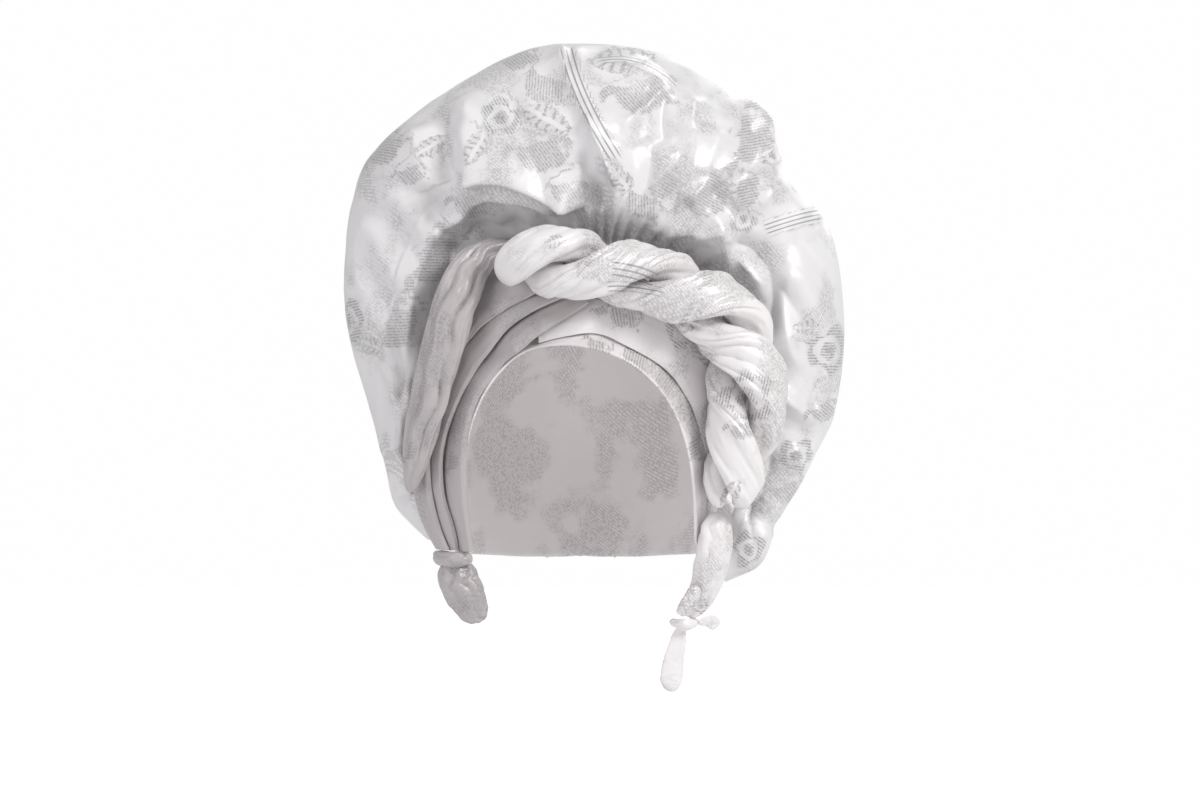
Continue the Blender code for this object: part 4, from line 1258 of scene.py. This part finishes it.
def rest_course(rows, half, nodes, cap):
    """Moves a course forward until a round roll of its size clears the solids under it."""
    trees = [solid_tree(node) for node in nodes]
    count = COURSE_STEPS * len(rows)
    share = np.linspace(0, 1, count)
    fine = through(rows, share)
    points = course_point(rows, share)
    push = []
    for point, swell, ends in zip(points, fine[:, 3], end_round(share, cap)):
        room = half * swell * (1 + ends) / 2 * STRAND_REACH + LAY_CLEARANCE
        need = 0.0
        for tree in trees:
            for _ in range(REST_TRIES):
                need += max(room - tree.find_nearest(Vector(point) + Vector((0, -need, 0)))[3], 0)
        push.append(need)
    near = [slice(max(step - REST_SPREAD, 0), step + REST_SPREAD + 1) for step in range(count)]
    wide = [max(push[places]) for places in near]
    even = [np.mean(wide[places]) for places in near]
    return [Course(row[0], row[1], row[2] - lift * 2 / HEAD_DEPTH, row[3]) for row, lift in zip(fine, even)]


carriers = ("head_wrap", "cross_band", "pleat_inner", "pleat_middle", "pleat_outer")
rope_course = rest_course(ROPE, ROPE_HALF, carriers, ROPE_CAP)
rope_front = -min(row.depth for row in rope_course) * HEAD_DEPTH / 2
print("rope lies", round(rope_front, 4), "m in front of the middle")

# %% [markdown]
# ## Creases by Geometry Nodes
# Cloth that is rolled and twisted is covered with creases that run along the roll and wind slowly round it.
# They follow a rule on a surface, so a Geometry Nodes tree cuts them: it reads each point's share of the
# length and its corner round the roll, and moves the point along its normal. Sculpting could do it too, but
# the tree serves all the rolls, each with its own number of creases, winding and depth.

# %% The crease tree
CREASE_INPUTS = (
    ("Creases", "NodeSocketFloat"),
    ("Fine creases", "NodeSocketFloat"),
    ("Winding", "NodeSocketFloat"),
    ("Depth", "NodeSocketFloat"),
    ("Material", "NodeSocketMaterial"),
)
Creases = namedtuple("Creases", "count fine winding depth")


def build_crease_tree():
    """Builds the tree that presses creases into a roll."""
    tree = bpy.data.node_groups.new("rolled cloth creases", "GeometryNodeTree")
    tree.interface.new_socket("Geometry", in_out="INPUT", socket_type="NodeSocketGeometry")
    for label, kind in CREASE_INPUTS:
        tree.interface.new_socket(label, in_out="INPUT", socket_type=kind)
    tree.interface.new_socket("Geometry", in_out="OUTPUT", socket_type="NodeSocketGeometry")
    given = tree.nodes.new("NodeGroupInput").outputs
    graph = Graph(tree)
    math = graph.math
    reads = []
    for label in ("share", "corner"):
        node = tree.nodes.new("GeometryNodeInputNamedAttribute")
        node.data_type = "FLOAT"
        node.inputs["Name"].default_value = label
        reads.append(node.outputs["Attribute"])
    share, corner = reads
    wander = math("MULTIPLY", math("SINE", math("MULTIPLY_ADD", share, 17, given["Creases"])), 1.1)
    wander = math("ADD", wander, math("MULTIPLY", math("SINE", math("MULTIPLY", share, 41)), 0.6))
    wound = math("MULTIPLY", share, math("MULTIPLY", given["Winding"], 2 * np.pi))

    def ridges(count, turned):
        """Gives rounded ridges at 0 with sharp valleys at -1 between them."""
        phase = math("ADD", math("MULTIPLY", corner, count), turned)
        wave = math("ABSOLUTE", math("SINE", math("MULTIPLY", phase, 0.5)))
        return math("SUBTRACT", math("POWER", wave, 0.6), 1)

    broad = ridges(given["Creases"], math("ADD", wound, wander))
    fine = ridges(given["Fine creases"], math("SUBTRACT", math("MULTIPLY", wander, 2), wound))
    place = tree.nodes.new("GeometryNodeInputPosition").outputs[0]
    uneven = graph.step(0.30, 0.70, graph.noise(place, 40, 1))
    patchy = graph.step(0.35, 0.65, graph.noise(place, 60, 1))
    relief = math("ADD", math("MULTIPLY", broad, math("MULTIPLY_ADD", uneven, 0.55, 0.45)),
                  math("MULTIPLY", math("MULTIPLY", fine, 0.35), patchy))
    ends = graph.step(0.0, 0.16, math("MINIMUM", share, math("SUBTRACT", 1, share)))
    relief = math("MULTIPLY", math("MULTIPLY", relief, given["Depth"]), ends)
    offset = tree.nodes.new("ShaderNodeVectorMath")
    offset.operation = "SCALE"
    graph.feed(offset.inputs[0], tree.nodes.new("GeometryNodeInputNormal").outputs[0])
    graph.feed(offset.inputs["Scale"], relief)
    move = tree.nodes.new("GeometryNodeSetPosition")
    graph.feed(move.inputs["Geometry"], given["Geometry"])
    graph.feed(move.inputs["Offset"], offset.outputs[0])
    realize = tree.nodes.new("GeometryNodeRealizeInstances")
    graph.feed(realize.inputs["Geometry"], move.outputs["Geometry"])
    dress = tree.nodes.new("GeometryNodeSetMaterial")
    graph.feed(dress.inputs["Geometry"], realize.outputs["Geometry"])
    graph.feed(dress.inputs["Material"], given["Material"])
    graph.feed(tree.nodes.new("NodeGroupOutput").inputs["Geometry"], dress.outputs["Geometry"])
    return tree


CREASE_TREE = build_crease_tree()


def crease_roll(mesh, creases, material):
    """Runs the crease tree on a mesh and gives the result as a plain mesh."""
    carrier = bpy.data.objects.new("crease_carrier", mesh)
    bpy.context.scene.collection.objects.link(carrier)
    modifier = carrier.modifiers.new("Creases", "NODES")
    modifier.node_group = CREASE_TREE
    values = (creases.count, creases.fine, creases.winding, creases.depth, material)
    items = CREASE_TREE.interface.items_tree
    sockets = {item.name: item.identifier for item in items if item.in_out == "INPUT"}
    for (label, _), value in zip(CREASE_INPUTS, values):
        modifier[sockets[label]] = value
    ready = carrier.evaluated_get(bpy.context.evaluated_depsgraph_get())
    result = bpy.data.meshes.new_from_object(ready)
    result.name = mesh.name
    bpy.data.objects.remove(carrier)
    result.materials.clear()
    return result


print("crease tree:", len(CREASE_TREE.nodes), "nodes")

# %% Build the strands
ROPE_FIGURES = (
    Figure(744, 398, 35, -35, FLOWER),
    Figure(738, 430, 18, 10, TWILL),
    Figure(592, 262, 17, 55, TWILL),
    Figure(556, 246, 12, 20, LEAF),
    Figure(690, 318, 20, 60, LEAF),
    Figure(704, 282, 14, 80, TWILL),
    Figure(728, 492, 16, 60, LEAF),
)
ROPE_LINES = (
    LineGroup(610, 272, 634, 276, 656, 284, 3, 3.4),
    LineGroup(606, 290, 632, 290, 664, 296, 2, 2.6),
)


def tube_piece(name, node, grid, creases, material, figures=(), groups=()):
    """Closes a grid round its second way into a solid roll, creases it and puts it in the scene."""
    points, share, corner = grid
    mesh = grid_mesh(name, points, thread_lengths(points), closed=True)
    for label, values in (("share", share), ("corner", corner)):
        store = mesh.attributes.new(label, "FLOAT", "POINT")
        store.data.foreach_set("value", values.astype(np.float32).ravel())
    finish_grid(mesh, True)
    mesh = crease_roll(mesh, creases, material)
    places = vertex_values(mesh.vertices, "co")[:, (0, 2)]
    seen = facing(mesh)
    mark_figures(mesh, places, figures, visible=seen)
    mark_lines(mesh, places, groups, visible=seen)
    return add_piece(name, mesh, (node,), material)


STRAND_STEPS = (421, 72)
ROLL_STEPS = (181, 64)


def roll_grid(lengths, corners):
    """Gives the shares of a roll's length and its corners in radians, as a grid."""
    turns = np.linspace(0, 2 * np.pi, corners + 1)[:-1]
    return np.meshgrid(np.linspace(0, 1, lengths), turns, indexing="ij")


def strand_points(turn):
    """Gives the smooth grid of one strand and the two shares that its creases follow."""
    share, corner = roll_grid(*STRAND_STEPS)
    point, away, across = course_frame(rope_course, share)
    swell = through(rope_course, share)[..., 3]
    angle = (turn + 2 * np.pi * ROPE_TURNS * share)[..., None]
    beside = away * np.cos(angle) + across * np.sin(angle)
    tangent = across * np.cos(angle) - away * np.sin(angle)
    centre = point + beside * (ROPE_HALF * swell / 2 + STRAND_CLEARANCE)[..., None]
    size = ROPE_HALF * swell * end_round(share, ROPE_CAP)
    corner_out = np.cos(corner)[..., None] / 2
    corner_side = np.sin(corner)[..., None] * ROPE_FLAT
    return centre + (beside * corner_out + tangent * corner_side) * size[..., None], share, corner


strand_turns = {"twist_strand_a": ROPE_START_TURN, "twist_strand_b": ROPE_START_TURN + np.pi}
for seed, (node, turn) in enumerate(strand_turns.items()):
    creases = Creases(6 + seed, 17, 2.6, 0.0023)
    grid = strand_points(turn)
    strand = tube_piece("gele_" + node, node, grid, creases, rope_cloth, ROPE_FIGURES, ROPE_LINES)
    print(strand.name, len(strand.data.polygons), "faces")

# %% [markdown]
# ## The rolls, the ties and the tails
# What is left of the cloth is rolled down the left side, knotted behind both jaws and let hang in two short
# tails. They are all made by one function from a course, a half thickness and a flatness, and differ in how
# many creases run along them. Each is then moved so that its middle is the middle of its solid, because the
# solids were brought up to the piece that carries them.

# %% The rolls' tables
SIDE_ROLL = (
    Course(-0.190, 0.185, -0.330, 0.50),
    Course(-0.310, 0.182, -0.330, 0.72),
    Course(-0.410, 0.120, -0.340, 0.92),
    Course(-0.468, 0.000, -0.350, 1.04),
    Course(-0.520, -0.185, -0.330, 1.04),
    Course(-0.575, -0.381, -0.270, 0.96),
    Course(-0.622, -0.578, -0.200, 0.80),
    Course(-0.660, -0.760, -0.120, 0.60),
)
CHEEK_ROLL = (
    Course(0.535, -0.850, -0.410, 0.70),
    Course(0.532, -0.910, -0.430, 1.00),
    Course(0.520, -1.010, -0.410, 1.14),
    Course(0.495, -1.128, -0.350, 0.98),
    Course(0.452, -1.215, -0.270, 0.80),
    Course(0.420, -1.252, -0.210, 0.55),
)
CHEEK_CURL = (
    Course(0.455, -1.120, -0.440, 0.70),
    Course(0.425, -1.187, -0.420, 1.00),
    Course(0.393, -1.230, -0.340, 0.80),
)
LEFT_TIE = (
    Course(-0.420, -1.006, -0.440, 0.80),
    Course(-0.480, -1.012, -0.470, 1.00),
    Course(-0.540, -1.008, -0.360, 1.00),
    Course(-0.560, -1.004, -0.220, 0.80),
)
LEFT_BULB = (
    Course(-0.483, -1.018, -0.370, 0.90),
    Course(-0.475, -1.085, -0.370, 1.00),
    Course(-0.448, -1.152, -0.370, 1.00),
    Course(-0.424, -1.205, -0.330, 0.85),
    Course(-0.395, -1.250, -0.260, 0.66),
)
TAIL_TIE = (
    Course(0.355, -1.262, -0.220, 0.80),
    Course(0.408, -1.272, -0.290, 1.00),
    Course(0.458, -1.262, -0.190, 0.80),
)
TAIL = (
    Course(0.398, -1.256, -0.240, 0.60),
    Course(0.368, -1.384, -0.200, 0.95),
    Course(0.358, -1.470, -0.190, 1.00),
    Course(0.372, -1.518, -0.180, 0.50),
)
CORNER_TAIL = (
    Course(0.475, -1.270, -0.240, 0.60),
    Course(0.520, -1.262, -0.200, 1.00),
    Course(0.550, -1.290, -0.170, 0.90),
)
Roll = namedtuple("Roll", "node rows half flat creases")
ROLLS = (
    Roll("side_roll", SIDE_ROLL, 0.0125, 0.80, Creases(5, 11, 0.35, 0.0056)),
    Roll("cheek_roll", CHEEK_ROLL, 0.0095, 0.80, Creases(5, 11, 1.0, 0.0024)),
    Roll("cheek_curl", CHEEK_CURL, 0.0052, 0.80, Creases(4, 7, 1.5, 0.0012)),
    Roll("left_tie", LEFT_TIE, 0.0048, 0.80, Creases(4, 7, 0.5, 0.0007)),
    Roll("left_bulb", LEFT_BULB, 0.0120, 0.80, Creases(8, 15, 0.15, 0.0024)),
    Roll("tail_tie", TAIL_TIE, 0.0038, 0.80, Creases(4, 7, 0.5, 0.0007)),
    Roll("tail", TAIL, 0.0070, 0.35, Creases(3, 5, 0.2, 0.0010)),
    Roll("corner_tail", CORNER_TAIL, 0.0042, 0.35, Creases(3, 5, 0.4, 0.0006)),
)
ROLL_FIGURES = (
    Figure(460, 568, 15, 40, TWILL),
    Figure(474, 596, 10, 0, LEAF),
    Figure(684, 588, 11, 20, TWILL),
    Figure(700, 604, 11, 70, FLOWER),
    Figure(716, 470, 14, 80, TWILL),
    Figure(447, 330, 15, 72, LEAF),
    Figure(414, 452, 12, 70, TWILL),
)


def roll_points(roll):
    """Gives the smooth grid of a plain roll, centred on its solid, and the shares that its creases follow."""
    share, corner = roll_grid(*ROLL_STEPS)
    rows = roll.rows
    if roll.node == "side_roll":
        rows = rest_course(rows, roll.half, ("pleat_outer",), ROLL_CAP)
    point, away, across = course_frame(rows, share)
    size = roll.half * through(rows, share)[..., 3] * end_round(share, ROLL_CAP)
    section = across * np.cos(corner)[..., None] + away * np.sin(corner)[..., None] * roll.flat
    points = point + section * size[..., None]
    low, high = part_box(roll.node)
    middle = (np.array(low) + np.array(high)) / 2
    points += middle - (points.min(axis=(0, 1)) + points.max(axis=(0, 1))) / 2
    return points, share, corner


# %% Build the rolls
# These rolls take the darker copy of the cloth, whose grey is painted shade.
SHADED_ROLLS = ("side_roll", "left_tie", "left_bulb")
for roll in ROLLS:
    cloth = pleat_cloth_painted_shade if roll.node in SHADED_ROLLS else rope_cloth
    piece = tube_piece("gele_" + roll.node, roll.node, roll_points(roll), roll.creases, cloth, ROLL_FIGURES)
    print(piece.name, len(piece.data.polygons), "faces")

# %% [markdown]
# ## Cloth that was cut
# Each sheet is listed with the size that it has when it lies flat, and its area is printed beside that size.
# All the pieces are parts of one cloth of about 1.8 by 0.7 m, and each sheet's size is that of its one layer,
# laid out flat.

Cut = namedtuple("Cut", "piece width length held rests")
CUTS = (
    Cut(fan, 0.62, 0.32, "gathered", ["gele_head_wrap"]),
    Cut(head_wrap, 0.48, 0.15, "stretched", ["gele_fan"]),
    Cut(strips[0], 0.20, 0.026, "stretched", ["gele_head_wrap"]),
    Cut(strips[1], 0.20, 0.018, "folded", ["gele_head_wrap"]),
    Cut(strips[2], 0.18, 0.016, "folded", ["gele_pleat_inner"]),
    Cut(strips[3], 0.18, 0.022, "folded", ["gele_pleat_middle"]),
)
for cut in CUTS:
    print(cut.piece.name, "area", round(cloth_area(cut.piece), 4), "cut", round(cut.width * cut.length, 4))

# %% [markdown]
# ## The studio
# A pale floor, a white background and large soft lights: the key stands in front and to the right, as in
# the photograph, so that the left side of the cloth falls into a soft grey. The camera stands far back with
# a long lens, because the front view was measured without perspective. What the camera sees behind the
# cloth is white, while the light that it gives the cloth is softer, or the folds would be washed out.

# %% Floor, background, lights and camera
FLOOR_DROP = 0.250
CAMERA_BACK = 3.2
PHOTO_WIDE = 1200 * PIXEL
ROOM_LIGHT = 0.42
FLOOR_GLOW = 0.62
FLOOR_HALF = 2.5
FILM_WIDTH = 36


def plane(name, corners, material):
    """Makes one flat face of the set."""
    mesh = bpy.data.meshes.new(name)
    mesh.from_pydata(corners, [], [(0, 1, 2, 3)])
    mesh.materials.append(material)
    piece = bpy.data.objects.new(name, mesh)
    bpy.context.scene.collection.objects.link(piece)


def pale_floor():
    """Makes a pale matt floor that the camera sees nearly as bright as the background."""
    material = bpy.data.materials.new("pale_floor")
    material.use_nodes = True
    tree = material.node_tree
    shader = tree.nodes["Principled BSDF"]
    shader.inputs["Base Color"].default_value = (0.9, 0.9, 0.9, 1)
    shader.inputs["Roughness"].default_value = 0.9
    shader.inputs["Emission Color"].default_value = (1, 1, 1, 1)
    seen = tree.nodes.new("ShaderNodeLightPath")
    glow = tree.nodes.new("ShaderNodeMath")
    glow.operation = "MULTIPLY"
    glow.inputs[1].default_value = FLOOR_GLOW
    tree.links.new(seen.outputs["Is Camera Ray"], glow.inputs[0])
    tree.links.new(glow.outputs[0], shader.inputs["Emission Strength"])
    return material


def area_light(name, place, target, size, power, colour):
    """Hangs a square soft light that looks at a target."""
    light = bpy.data.lights.new(name, "AREA")
    light.shape = "SQUARE"
    light.size = size
    light.energy = power
    light.color = colour
    lamp = bpy.data.objects.new(name, light)
    lamp.location = place
    lamp.rotation_euler = (Vector(target) - Vector(place)).to_track_quat("-Z", "Y").to_euler()
    bpy.context.scene.collection.objects.link(lamp)


def white_room():
    """Makes a world that the camera sees as white and that lights the cloth softly."""
    world = bpy.data.worlds.new("studio")
    bpy.context.scene.world = world
    world.use_nodes = True
    tree = world.node_tree
    background = tree.nodes["Background"]
    background.inputs["Color"].default_value = (1.0, 0.995, 1.0, 1)
    seen = tree.nodes.new("ShaderNodeLightPath")
    level = tree.nodes.new("ShaderNodeMapRange")
    level.inputs["To Min"].default_value = ROOM_LIGHT
    level.inputs["To Max"].default_value = 1.0
    tree.links.new(seen.outputs["Is Camera Ray"], level.inputs["Value"])
    tree.links.new(level.outputs["Result"], background.inputs["Strength"])


sides = ((-1, -1), (1, -1), (1, 1), (-1, 1))
floor_corners = [(x * FLOOR_HALF, y * FLOOR_HALF, -FLOOR_DROP) for x, y in sides]
plane("floor", floor_corners, pale_floor())
area_light("key", (1.35, -1.3, 1.1), (0.02, 0, 0), 0.6, 24, (1.0, 0.995, 0.985))
area_light("top", (-0.6, -0.4, 1.4), (0, 0, 0), 0.7, 3.5, (1.0, 0.995, 0.99))
area_light("fill", (-1.5, -1.2, 0.2), (0, 0, 0), 1.4, 8, (0.97, 0.95, 1.0))
area_light("behind", (0.9, 1.9, 1.0), (0, 0, 0), 1.2, 16, (1.0, 0.995, 1.0))
white_room()
camera_data = bpy.data.cameras.new("camera")
camera_data.sensor_width = FILM_WIDTH
camera_data.lens = FILM_WIDTH * CAMERA_BACK / PHOTO_WIDE
camera = bpy.data.objects.new("camera", camera_data)
across, up = front(600, 400)
camera.location = (across, -CAMERA_BACK, up)
camera.rotation_euler = (np.pi / 2, 0, 0)
bpy.context.scene.collection.objects.link(camera)
bpy.context.scene.camera = camera
bpy.context.scene.view_settings.view_transform = "Standard"
print("camera", camera_data.lens, "mm")
